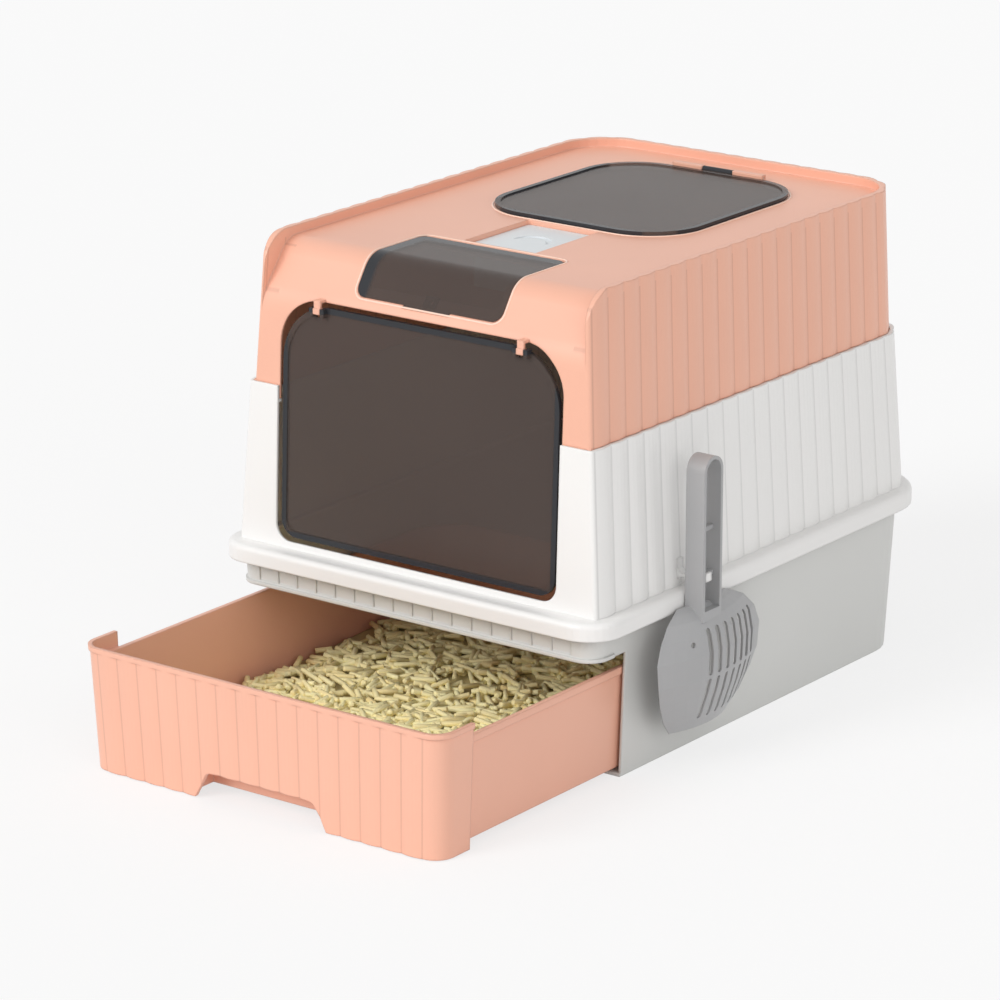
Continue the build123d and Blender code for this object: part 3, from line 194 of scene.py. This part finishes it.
def groove_shade_mask(n, coords, reeds, across, start, run, beyond, heights):
    """Mask for painted shade in the grooves: 1 on the thin bands between reeds, 0 elsewhere. Across is the axis that
    the reeds stand along; start and run are (value at the floor, growth with height) of the first line's place and of
    the whole stretch of reeds; beyond is (axis, distance from the middle) of the wall that carries them, between two
    heights."""
    parts = n.add("ShaderNodeSeparateXYZ", {0: coords}).outputs
    first, whole = (n.add("ShaderNodeMath", {0: parts[2], 1: growth, 2: at_floor}, operation="MULTIPLY_ADD").outputs[0]
                    for at_floor, growth in (start, run))
    number = n.sum("DIVIDE", n.sum("MULTIPLY", n.sum("SUBTRACT", parts[across], first), reeds), whole)
    away = n.sum("ABSOLUTE", n.sum("SUBTRACT", n.sum("FRACT", n.sum("ADD", number, 0.5)), 0.5))
    fade = {0: away, 1: LINE_CORE, 2: LINE_FADE, 3: 1.0, 4: 0.0}
    line = n.add("ShaderNodeMapRange", fade, clamp=True).outputs[0]
    axis, distance = beyond
    on_wall = n.sum("GREATER_THAN", n.sum("ABSOLUTE", parts[axis]), distance)
    inside = n.sum("LESS_THAN", n.sum("ABSOLUTE", n.sum("SUBTRACT", n.sum("DIVIDE", number, reeds), 0.5)), 0.51)
    middle, reach = (heights[0] + heights[1]) / 2, (heights[1] - heights[0]) / 2
    level = n.sum("LESS_THAN", n.sum("ABSOLUTE", n.sum("SUBTRACT", parts[2], middle)), reach)
    return n.sum("MULTIPLY", n.sum("MULTIPLY", line, level), n.sum("MULTIPLY", on_wall, inside))


def moulded(name, rgb, roughness=0.42, depth=0.05, edge=None, shaded_grooves=None):
    """Moulded plastic: a faint cloudiness in the colour, a fine grain that breaks the gloss, and softened edges. On a
    reeded wall the colour darkens along the grooves as painted shade; the last argument is what the groove shade
    mask is told about that wall."""
    settings = bpy.context.scene.litterbox_plastic
    n = Nodes(name)
    coords = n.coords()
    cloud = n.noise(9.0, 3.0, coords)
    tone = n.blend(cloud, rgba(rgb, 1 - depth), rgba(rgb, 1 + depth))
    if shaded_grooves:
        # painted shade: the colour darkens towards 0.45 of itself along the grooves between the reeds
        tone = n.blend(n.sum("MULTIPLY", groove_shade_mask(n, coords, *shaded_grooves), settings.painted_groove_shade), tone, rgba(rgb, 0.45))
    grain = n.noise(1.0 / settings.grain, 2.0, coords)
    rough = n.between(grain, roughness - 0.05, roughness + 0.07)
    soft_edge = n.add("ShaderNodeBevel", {"Radius": edge or settings.edge}, samples=8).outputs[0]
    relief = {"Strength": 0.10, "Distance": 0.0003, "Height": grain, "Normal": soft_edge}
    bump = n.add("ShaderNodeBump", relief).outputs[0]
    shader = n.add("ShaderNodeBsdfPrincipled", {"Base Color": tone, "Roughness": rough, "Normal": bump,
                                                "Specular IOR Level": 0.55})
    return n.finish(shader.outputs[0])


def smoked(name, distance_to_edge, border_width):
    """Smoky clear plastic with faint smudges, denser and bluer within a border width of the piece's edge: the denser
    edge is the plastic's own, the bluer tint a painted reflection.
    """
    settings = bpy.context.scene.litterbox_smoke
    n = Nodes(name)
    coords = n.coords()
    edge = distance_to_edge(n, coords)
    fade = {0: edge, 1: border_width * 0.85, 2: border_width * 1.15}
    inside = n.add("ShaderNodeMapRange", fade, clamp=True).outputs[0]
    cloud = n.noise(5.0, 2.0, coords)
    tint = n.blend(cloud, rgba(settings.tint, 0.9), rgba(settings.tint, 1.12))
    # border: denser smoke, with a bluish painted reflection
    tone = n.blend(inside, rgba(settings.border), tint)
    hold = n.between(inside, settings.border_hold, settings.hold)
    rough = n.between(n.noise(14.0, 4.0, coords), 0.10, 0.24)
    shader = n.add("ShaderNodeBsdfPrincipled", {"Base Color": tone, "Roughness": rough, "Alpha": hold,
                                                "Specular IOR Level": 0.22})
    return n.finish(shader.outputs[0])


def steel(name):
    """Drawn steel pin: fine rings along its length."""
    n = Nodes(name)
    wave = {"Vector": n.coords(), "Scale": 900.0, "Distortion": 1.0}
    rings = n.add("ShaderNodeTexWave", wave, bands_direction="X").outputs[1]
    rough = n.between(rings, 0.28, 0.42)
    tone = n.blend(rings, (0.55, 0.55, 0.56, 1), (0.66, 0.66, 0.67, 1))
    shader = n.add("ShaderNodeBsdfPrincipled", {"Base Color": tone, "Metallic": 1.0, "Roughness": rough})
    return n.finish(shader.outputs[0])


def pellet_finish(name, gain=1.0):
    """Pressed pellets: each has its own shade, with faint speckles. A gain under 1 darkens all the colours, as painted
    shade.
    """
    settings = bpy.context.scene.litterbox_litter
    n = Nodes(name)
    shade = n.add("ShaderNodeAttribute", attribute_name="shade").outputs["Fac"]
    speckle = n.noise(900.0, 2.0)
    mixed = n.sum("ADD", shade, n.sum("MULTIPLY", n.sum("SUBTRACT", speckle, 0.5), 0.5), clamp=True)
    tone = n.blend(mixed, rgba(settings.deep, gain), rgba(settings.pale, gain))
    bump = n.add("ShaderNodeBump", {"Strength": 0.35, "Distance": 0.0002, "Height": speckle}).outputs[0]
    shader = n.add("ShaderNodeBsdfPrincipled", {"Base Color": tone, "Roughness": 0.62, "Normal": bump,
                                                "Specular IOR Level": 0.3})
    return n.finish(shader.outputs[0])


def dress(node, material):
    """Gives a CAD node its material."""
    mesh = NODES[node].data
    mesh.materials.clear()
    mesh.materials.append(material)


# ---- surfaces from numpy ------------------------------------------------------------------------------

def new_piece(name, points, faces, body, material, shade=None):
    """Mesh object from an (n, 3) array of points and an (m, k) array of corners, riding on a body."""
    mesh = bpy.data.meshes.new(name)
    faces = np.asarray(faces)
    mesh.vertices.add(len(points))
    mesh.vertices.foreach_set("co", np.asarray(points, np.float32).ravel())
    count, corners = faces.shape
    mesh.loops.add(count * corners)
    mesh.loops.foreach_set("vertex_index", faces.astype(np.int32).ravel())
    mesh.polygons.add(count)
    mesh.polygons.foreach_set("loop_start", np.arange(count, dtype=np.int32) * corners)
    mesh.update(calc_edges=True)
    mesh.polygons.foreach_set("use_smooth", np.ones(count, bool))
    if shade is not None:
        mesh.attributes.new("shade", "FLOAT", "POINT").data.foreach_set("value", np.asarray(shade, np.float32))
    mesh.materials.append(material)
    mesh.validate()
    piece = bpy.data.objects.new(name, mesh)
    bpy.context.scene.collection.objects.link(piece)
    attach(piece, body)
    return piece


def grid_faces(rows, columns):
    """Quads of a grid of rows by columns points."""
    i, j = np.meshgrid(np.arange(rows - 1), np.arange(columns - 1), indexing="ij")
    k = j + 1
    corners = [i * columns + j, i * columns + k, (i + 1) * columns + k, (i + 1) * columns + j]
    return np.stack(corners, -1).reshape(-1, 4)


def bed_height(x, y, low, high):
    """Top of the litter: the bed's level plus slow waves of a few millimetres, a little lower at the front left.
    level(x, y) = top - drop + 2 sin(14x + 1) sin(17y) + 1.2 sin(31x - 23y) - 3 left front, with left and front the
    shares of the way to the left wall and to the front wall."""
    drop = bpy.context.scene.litterbox_litter.drop
    left = np.clip((high[0] - x) / (high[0] - low[0]), 0, 1)
    front = np.clip((high[1] - y) / (high[1] - low[1]), 0, 1)
    wave = 2.0 * np.sin(14 * x + 1) * np.sin(17 * y) + 1.2 * np.sin(31 * x - 23 * y)
    return high[2] - drop + MM * (wave - 3.0 * left * front)


def rounding(x, half, radius):
    """How far a round corner takes the bed's edge in at x: r - sqrt(r^2 - (|x| - half width + r)^2)."""
    past = np.clip(np.abs(x) - half + radius, 0, None)
    return radius - np.sqrt(np.clip(radius ** 2 - past ** 2, 0, None))


PELLET_TILT = 0.16                  # spread of the pellets' slopes, radians
PELLET_RISE = (-5.5, 1.6)           # of their middles, above a pellet that lies on the bed, mm
PELLET_WIDTHS = (0.85, 1.12)        # of their radii, as shares of the setting
PELLET_SHADES = (0.76, 0.2)         # mean and spread of their shades
PELLET_SIDES = 7
PELLET_RINGS = np.array([-1.0, -0.97, 0.97, 1.0])   # places of the rings, as shares of half the length
PELLET_TAPER = np.array([0.88, 1.0, 1.0, 0.88])     # and their radii


def pellet_heap(name, count, x_span, y_span, settings, low, high, rng, material):
    """Pellets strewn over a rectangle of the bed. Each is a short rod of four rings, with a tip at each end: a ring's
    point is centre + u along + r (cos a across + sin a up)."""
    sides = PELLET_SIDES
    half = 0.5 * rng.uniform(settings.shortest, settings.longest, count)
    yaw = rng.uniform(0, 2 * pi, count)
    pitch = rng.normal(0, PELLET_TILT, count)
    reach = half * np.abs(np.cos(yaw)) + settings.radius
    depth = half * np.abs(np.sin(yaw)) + settings.radius
    x = x_span[0] + reach + rng.uniform(0, 1, count) * (x_span[1] - x_span[0] - 2 * reach)
    y = y_span[0] + depth + rng.uniform(0, 1, count) * (y_span[1] - y_span[0] - 2 * depth)
    behind_pocket = low[1] + settings.pocket_depth + settings.inset + depth
    y = np.where(np.abs(x) - reach < settings.pocket + settings.inset, np.maximum(y, behind_pocket), y)
    corner = rounding(np.abs(x) + reach, high[0], settings.rear_corner)
    y = np.minimum(y, high[1] - corner - depth - settings.inset)
    sunk = rng.uniform(-PELLET_RISE[1], -PELLET_RISE[0], count) * MM
    z = bed_height(x, y, low, high) - sunk + settings.radius
    along = np.stack([np.cos(yaw) * np.cos(pitch), np.sin(yaw) * np.cos(pitch), np.sin(pitch)], -1)
    across = np.stack([-np.sin(yaw), np.cos(yaw), np.zeros(count)], -1)
    up = np.cross(along, across)
    turn = np.arange(sides) * 2 * pi / sides
    ring = (np.cos(turn)[None, :, None] * across[:, None, None, :]
            + np.sin(turn)[None, :, None] * up[:, None, None, :])
    radius = settings.radius * rng.uniform(*PELLET_WIDTHS, count)
    centres = np.stack([x, y, z], -1)
    line = centres[:, None, :] + along[:, None, :] * (half[:, None] * PELLET_RINGS[None, :])[:, :, None]
    rings = line[:, :, None, :] + ring * (radius[:, None] * PELLET_TAPER[None, :])[:, :, None, None]
    points = np.concatenate([rings.reshape(count, 4 * sides, 3), line[:, [0, 3]]], 1)
    per = 4 * sides + 2
    j = np.arange(sides)
    k = (j + 1) % sides
    body = np.concatenate(
        [np.stack([i * sides + j, i * sides + k, (i + 1) * sides + k], -1) for i in range(3)]
        + [np.stack([i * sides + j, (i + 1) * sides + k, (i + 1) * sides + j], -1) for i in range(3)])
    caps = np.concatenate([np.stack([np.full(sides, per - 2), k, j], -1),
                           np.stack([np.full(sides, per - 1), 3 * sides + j, 3 * sides + k], -1)])
    local = np.concatenate([body, caps])
    faces = (local[None] + (np.arange(count) * per)[:, None, None]).reshape(-1, 3)
    shade = np.repeat(np.clip(rng.normal(*PELLET_SHADES, count), 0, 1), per)
    return new_piece(name, points.reshape(-1, 3), faces, "drawer", material, shade)


BASE_SUNK = 3.0                     # the base's top below the litter's level, mm
# the bed's place between the deep and pale pellet colours, kept low: painted shade in the gaps between pellets
PAINTED_GAP_SHADE = 0.25
BASE_COLUMNS = (34, 50)             # on each side of the hand pocket, and behind it
BASE_ROWS = 110


def litter_base(name, low, high, settings, material):
    """Bed under the pellets: a height field a little under bed_height(x, y), closed by a flat bottom and short sides.
    Each column runs from y = front + rounding(x, front r) to y = rear - rounding(x, rear r), and the columns behind
    the hand pocket start at its back. Its colour is darker than the pellets': painted shade in the gaps between them."""
    half = high[0] - settings.inset
    edge = settings.pocket + settings.inset
    side = np.linspace(edge + MM, half, BASE_COLUMNS[0])
    x = np.concatenate([-side[::-1], np.linspace(-edge, edge, BASE_COLUMNS[1]), side])
    start = np.where(np.abs(x) > edge, rounding(x, half, settings.front_corner), settings.pocket_depth)
    front = low[1] + settings.inset + start
    rear = high[1] - settings.inset - rounding(x, half, settings.rear_corner)
    columns, rows = len(x), BASE_ROWS
    way = np.linspace(0, 1, rows)[:, None]
    y = front + way * (rear - front)
    x = np.broadcast_to(x, y.shape)
    top = np.stack([x, y, bed_height(x, y, low, high) - BASE_SUNK * MM], -1).reshape(-1, 3)
    under = top.copy()
    under[:, 2] = low[2]
    grid = grid_faces(rows, columns)
    border = np.concatenate([np.arange(columns), np.arange(1, rows) * columns + columns - 1,
                             (rows - 1) * columns + np.arange(columns - 2, -1, -1),
                             np.arange(rows - 2, 0, -1) * columns])
    follow = np.roll(border, -1)
    count = len(top)
    sides = np.stack([border, border + count, follow + count, follow], -1)
    faces = np.concatenate([grid, grid[:, ::-1] + count, sides])
    shade = np.full(2 * count, PAINTED_GAP_SHADE)
    return new_piece(name, np.concatenate([top, under]), faces, "drawer", material, shade)


# ---- lips of the hood's openings ----------------------------------------------------------------------------

BROW_FOOT = (-234.445, 368.0)       # y and z where the front face turns into the brow, mm
BROW_TURN = (-203.445, 414.5)       # and where the brow turns into the top panel
BROW_RADII = (40.0, 25.0)
FRONT_LEAN = 0.0448                 # of the front face, radians
LID_REAR = 0.202                    # y of the lid's rear edge, ahead of its hinge, m
LID_CORNER = 0.054
VISOR_CORNER = 0.009
VISOR_TAB = 2.4                     # that the visor's tab reaches below its lower edge, mm
VISOR_REAR = 2.6                    # from the visor's rear edge to its opening's
LIP_CLEARANCE = 2.0                 # between a cover's edge and the middle of its lip


def brow_profile(count=240):
    """Points (y, z) and outward normals along the front face, the brow and the top, the two corners rounded:
    on an arc of radius r about c the point is c + r (-cos a, sin a), where a is how far the face leans back."""
    foot, turn = np.array(BROW_FOOT), np.array(BROW_TURN)
    slope = np.arctan2(turn[0] - foot[0], turn[1] - foot[1])
    leans = (FRONT_LEAN, slope, pi / 2)
    points, normals = [], []
    for corner, radius, before, after in zip((foot, turn), BROW_RADII, leans[:2], leans[1:]):
        reach = radius / cos((after - before) / 2)
        middle = (before + after) / 2
        centre = corner + reach * np.array((cos(middle), -sin(middle)))
        lean = np.linspace(before, after, count // 2)
        normal = np.stack([-np.cos(lean), np.sin(lean)], -1)
        points.append(centre + radius * normal)
        normals.append(normal)
    return np.concatenate(points), np.concatenate(normals)


def rounded_rectangle(half_w, low, high, radius, steps=14):
    """Closed row of points of a rectangle with rounded corners."""
    turn = np.linspace(0, pi / 2, steps)
    centres = ((half_w - radius, high - radius), (-half_w + radius, high - radius),
               (-half_w + radius, low + radius), (half_w - radius, low + radius))
    arcs = [np.stack([np.cos(turn + k * pi / 2), np.sin(turn + k * pi / 2)], -1) for k in range(4)]
    return np.repeat(centres, steps, 0) + radius * np.concatenate(arcs)


def finer(points, longest):
    """Closed row of points with every run longer than a length divided evenly."""
    rows = []
    for a, b in zip(points, np.roll(points, -1, 0)):
        parts = max(1, int(np.ceil(np.linalg.norm(b - a) / longest)))
        rows.append(a + (b - a) * np.arange(parts)[:, None] / parts)
    return np.concatenate(rows)


def bead(name, path, normals, radius, material, sides=8, height=0.8):
    """Closed bead: its point is path + r (cos a across + height sin a normal), with across = along x normal."""
    along = np.roll(path, -1, 0) - np.roll(path, 1, 0)
    along /= np.linalg.norm(along, axis=1)[:, None]
    across = np.cross(along, normals)
    turn = np.arange(sides) * 2 * pi / sides
    points = (path[:, None] + radius * (np.cos(turn)[None, :, None] * across[:, None]
                                        + height * np.sin(turn)[None, :, None] * normals[:, None]))
    rows = len(path)
    i, j = np.meshgrid(np.arange(rows), np.arange(sides), indexing="ij")
    after, beside = (i + 1) % rows, (j + 1) % sides
    corners = [i * sides + j, i * sides + beside, after * sides + beside, after * sides + j]
    faces = np.stack(corners, -1).reshape(-1, 4)
    return new_piece(name, points.reshape(-1, 3), faces, "hood", material)


# ---- operators --------------------------------------------------------------------------------------------

class LITTERBOX_OT_stage(bpy.types.Operator):
    """Sets the camera, the lamps, the world and the floor"""
    bl_idname = "litterbox.stage"
    bl_label = "Stage"

    def execute(self, context):
        s = context.scene.litterbox_stage
        context.scene.view_settings.view_transform = "Standard"
        away = Vector((sin(s.azimuth) * cos(s.elevation), -cos(s.azimuth) * cos(s.elevation), sin(s.elevation)))
        right = Vector((cos(s.azimuth), sin(s.azimuth), 0))
        up = away.cross(right)
        data = bpy.data.cameras.new("photo_camera")
        data.lens = s.lens
        data.sensor_width = 36.0
        data.clip_end = 50
        camera = bpy.data.objects.new("photo_camera", data)
        turn = Matrix((right, up, away)).transposed().to_4x4()
        camera.matrix_world = Matrix.Translation(Vector(s.aim) + away * s.distance) @ turn
        context.scene.collection.objects.link(camera)
        context.scene.camera = camera
        self.lamps(context, s)
        self.world(context, s)
        self.floor(context, s)
        return {"FINISHED"}

    def lamps(self, context, s):
        suns = (("key_sun", s.key, 28, (58, 0, -18)),
                ("side_sun", s.key * 0.36, 40, (68, 0, 62)))
        for name, energy, angle, turn in suns:
            data = bpy.data.lights.new(name, "SUN")
            data.energy = energy
            data.angle = radians(angle)
            lamp = bpy.data.objects.new(name, data)
            lamp.rotation_euler = [radians(a) for a in turn]
            context.scene.collection.objects.link(lamp)

    def world(self, context, s):
        """White where the camera looks, the sheen in reflections, and the fill for all other light."""
        n = Nodes("studio", bpy.data.worlds, "ShaderNodeOutputWorld")
        rays = n.add("ShaderNodeLightPath").outputs
        seen = n.sum("MAXIMUM", rays["Is Camera Ray"], rays["Is Transmission Ray"])
        light, gloss, shown = (n.add("ShaderNodeBackground", {0: (1, 1, 1, 1), 1: strength}).outputs[0]
                               for strength in (s.fill, s.sheen, 1.0))
        lit = n.add("ShaderNodeMixShader", {0: rays["Is Glossy Ray"], 1: light, 2: gloss}).outputs[0]
        mix = n.add("ShaderNodeMixShader", {0: seen, 1: lit, 2: shown}).outputs[0]
        context.scene.world = n.finish(mix)

    def floor(self, context, s):
        """A lit floor that takes shadows, mixed with white glow where it is seen, so that it meets the background."""
        glow_share = 0.72
        reach = 12.0
        mesh = bpy.data.meshes.new("floor")
        corners = [(-reach, -reach, 0), (reach, -reach, 0), (reach, reach, 0), (-reach, reach, 0)]
        mesh.from_pydata(corners, [], [(0, 1, 2, 3)])
        n = Nodes("floor")
        lit = n.add("ShaderNodeBsdfDiffuse", {"Color": (*s.floor, 1)}).outputs[0]
        glow = n.add("ShaderNodeEmission", {"Color": (1, 1, 1, 1), "Strength": 1.0}).outputs[0]
        rays = n.add("ShaderNodeLightPath").outputs
        seen = n.sum("MAXIMUM", rays["Is Camera Ray"], rays["Is Glossy Ray"])
        seen = n.sum("MAXIMUM", seen, rays["Is Transmission Ray"])
        mix = n.add("ShaderNodeMixShader", {0: n.sum("MULTIPLY", seen, glow_share), 1: lit, 2: glow})
        mesh.materials.append(n.finish(mix.outputs[0]))
        floor = bpy.data.objects.new("floor", mesh)
        context.scene.collection.objects.link(floor)


# for the painted shade in the grooves: reeds, axis across them, first line and whole stretch at the floor with their
# growth by height, wall and heights
HOOD_REEDS = (19, 1, (-0.24695, 0.04486), (0.4483, -0.0433), (0, 0.155), (0.293, 0.4145))
SHELL_REEDS = (19, 1, (-0.24834, 0.03868), (0.46364, -0.0738), (0, 0.165), (0.152, 0.292))
DRAWER_REEDS = (16, 0, (-0.1672, -0.04), (0.3344, 0.08), (1, 0.448), (0.001, 0.1055))


class LITTERBOX_OT_housing(bpy.types.Operator):
    """Finishes the base tub, the middle shell, the hood and the drawer"""
    bl_idname = "litterbox.housing"
    bl_label = "Housing and drawer"

    def execute(self, context):
        s = context.scene.litterbox_plastic
        # the reeded walls get painted shade along their grooves
        dress("top_hood", moulded("pink_hood", s.pink, 0.36, 0.05, s.housing_edge, HOOD_REEDS))
        dress("drawer_tray", moulded("pink_drawer", s.pink, 0.36, 0.05, s.housing_edge, DRAWER_REEDS))
        dress("lid_catch", moulded("pink_plastic", s.pink, 0.36))
        dress("middle_shell", moulded("white_plastic", s.white, 0.34, 0.02, s.housing_edge, SHELL_REEDS))
        dress("base_tub", moulded("grey_plastic", s.grey, 0.42, 0.02, s.housing_edge))
        return {"FINISHED"}


class LITTERBOX_OT_covers(bpy.types.Operator):
    """Finishes the smoky clear flap, top lid and visor"""
    bl_idname = "litterbox.covers"
    bl_label = "Clear covers"

    def execute(self, context):
        borders = (("front_flap", 5.0, "xz"), ("top_lid", 7.0, "xy"), ("front_visor", 11.0, "rear"))
        for node, width, sides in borders:
            low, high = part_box(node)

            def distance_to_edge(n, coords, low=low, high=high, sides=sides):
                x, y, z = n.add("ShaderNodeSeparateXYZ", {0: coords}).outputs
                edge = n.sum("SUBTRACT", high[0], n.sum("ABSOLUTE", x))
                if sides == "rear":
                    return n.sum("MINIMUM", n.sum("SUBTRACT", high[1], y), n.sum("SUBTRACT", x, low[0]))
                along, index = (z, 2) if sides == "xz" else (y, 1)
                middle = (low[index] + high[index]) / 2
                rise = n.sum("SUBTRACT", high[index] - middle, n.sum("ABSOLUTE", n.sum("SUBTRACT", along, middle)))
                return n.sum("MINIMUM", edge, rise)

            dress(node, smoked("smoky_" + node, distance_to_edge, width * MM))
        return {"FINISHED"}


class LITTERBOX_OT_fittings(bpy.types.Operator):
    """Finishes the pins, the visor's catch, the deodorizer's pieces and the scoop"""
    bl_idname = "litterbox.fittings"
    bl_label = "Fittings and scoop"

    def execute(self, context):
        s = context.scene.litterbox_plastic
        pins = steel("pin_steel")
        dress("lid_hinge_pin", pins)
        dress("visor_hinge_pins", pins)
        dress("visor_catch", moulded("dark_plastic", s.dark, 0.35))
        pale = moulded("pale_plastic", s.pale, 0.38, 0.02)
        dress("deodorizer_cover", pale)
        dress("deodorizer_box", pale)
        dress("deodorizer_block", moulded("deodorizer_cake", (0.30, 0.52, 0.36), 0.75, 0.12))
        dress("litter_scoop", moulded("scoop_plastic", s.scoop, 0.38, 0.03))
        return {"FINISHED"}


class LITTERBOX_OT_lips(bpy.types.Operator):
    """Adds the raised lips round the visor's and the lid's openings, in a lighter pink that is a painted highlight"""
    bl_idname = "litterbox.lips"
    bl_label = "Lips of the openings"

    def execute(self, context):
        s = context.scene.litterbox_plastic
        # the bead's lighter pink is a painted highlight
        finish = moulded("pink_lip_highlight", s.lip_highlight, 0.32)
        clear = LIP_CLEARANCE * MM
        low, high = (np.array(corner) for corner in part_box("top_lid"))
        panel = BROW_TURN[1] * MM
        outline = rounded_rectangle(high[0] + clear, low[1] - clear, LID_REAR + clear, LID_CORNER + clear)
        path = np.column_stack([outline, np.full(len(outline), panel)])
        bead("lip_lid", path, np.tile((0.0, 0.0, 1.0), (len(path), 1)), s.lip_radius, finish)

        low, high = (np.array(corner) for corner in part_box("front_visor"))
        points, normals = brow_profile()
        below = points[:1] - 60 * (points[1:2] - points[:1])
        behind = points[-1:] + [[200.0, 0.0]]
        points = np.concatenate([below, points, behind]) * MM
        normals = np.concatenate([normals[:1], normals, normals[-1:]])
        run = np.concatenate([[0], np.cumsum(np.linalg.norm(np.diff(points, axis=0), axis=1))])
        first = np.interp(low[2] + VISOR_TAB * MM - clear, points[:, 1], run)
        last = np.interp(high[1] + VISOR_REAR * MM + clear, points[:, 0], run)
        outline = finer(rounded_rectangle(high[0] + clear, first, last, VISOR_CORNER + clear), 2 * MM)
        y, z, out_y, out_z = (np.interp(outline[:, 1], run, row) for row in (*points.T, *normals.T))
        path = np.stack([outline[:, 0], y, z], -1)
        bead("lip_visor", path, np.stack([np.zeros(len(y)), out_y, out_z], -1), s.lip_radius, finish)
        return {"FINISHED"}


FRONT_SHARE = 0.46                  # of the bed's length, which the two front heaps cover


class LITTERBOX_OT_litter(bpy.types.Operator):
    """Fills the drawer with pellets on an uneven bed"""
    bl_idname = "litterbox.litter"
    bl_label = "Litter"

    def execute(self, context):
        s = context.scene.litterbox_litter
        low, high = (np.array(corner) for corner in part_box("litter_bed"))
        rng = np.random.default_rng(s.seed)
        finish = pellet_finish("litter_pellets")
        # the bed under the pellets is darkened: painted shade in the gaps between them
        base = litter_base("litter_bed_base", low, high, s, pellet_finish("litter_painted_gap_shade", 0.6))
        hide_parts("litter_bed")
        middle_y = low[1] + FRONT_SHARE * (high[1] - low[1])
        margin = 1 * MM
        lap = 10 * MM
        spans = [("pellets_left", s.front_count, (low[0] + margin, lap), (low[1] + margin, middle_y)),
                 ("pellets_right", s.front_count, (-lap, high[0] - margin), (low[1] + margin, middle_y)),
                 ("pellets_rear", s.rear_count, (low[0] + margin, high[0] - margin),
                  (middle_y - lap, high[1] - margin))]
        for name, count, x_span, y_span in spans:
            pellet_heap(name, count, x_span, y_span, s, low, high, rng, finish)
        return {"FINISHED"}


class LITTERBOX_PT_sidebar(bpy.types.Panel):
    """Lists the settings and the operators"""
    bl_label = "Litter box"
    bl_idname = "LITTERBOX_PT_sidebar"
    bl_space_type = "VIEW_3D"
    bl_region_type = "UI"
    bl_category = "Litter box"

    def draw(self, context):
        for group in GROUPS:
            settings = getattr(context.scene, group)
            box = self.layout.box()
            box.label(text=type(settings).__doc__)
            for key in type(settings).__annotations__:
                box.prop(settings, key)
        for operator in OPERATORS:
            self.layout.operator(operator.bl_idname)


GROUPS = {"litterbox_stage": StageSettings, "litterbox_plastic": PlasticSettings,
          "litterbox_smoke": SmokeSettings, "litterbox_litter": LitterSettings}
OPERATORS = (LITTERBOX_OT_stage, LITTERBOX_OT_housing, LITTERBOX_OT_covers, LITTERBOX_OT_fittings,
             LITTERBOX_OT_lips, LITTERBOX_OT_litter)


def register():
    for cls in (*GROUPS.values(), *OPERATORS, LITTERBOX_PT_sidebar):
        bpy.utils.register_class(cls)
    for name, cls in GROUPS.items():
        setattr(bpy.types.Scene, name, PointerProperty(type=cls))


def unregister():
    for name in GROUPS:
        delattr(bpy.types.Scene, name)
    for cls in (LITTERBOX_PT_sidebar, *reversed(OPERATORS), *reversed(list(GROUPS.values()))):
        bpy.utils.unregister_class(cls)


def main():
    register()
    for operator in OPERATORS:
        group, name = operator.bl_idname.split(".")
        getattr(getattr(bpy.ops, group), name)()


if __name__ == "__main__":
    main()
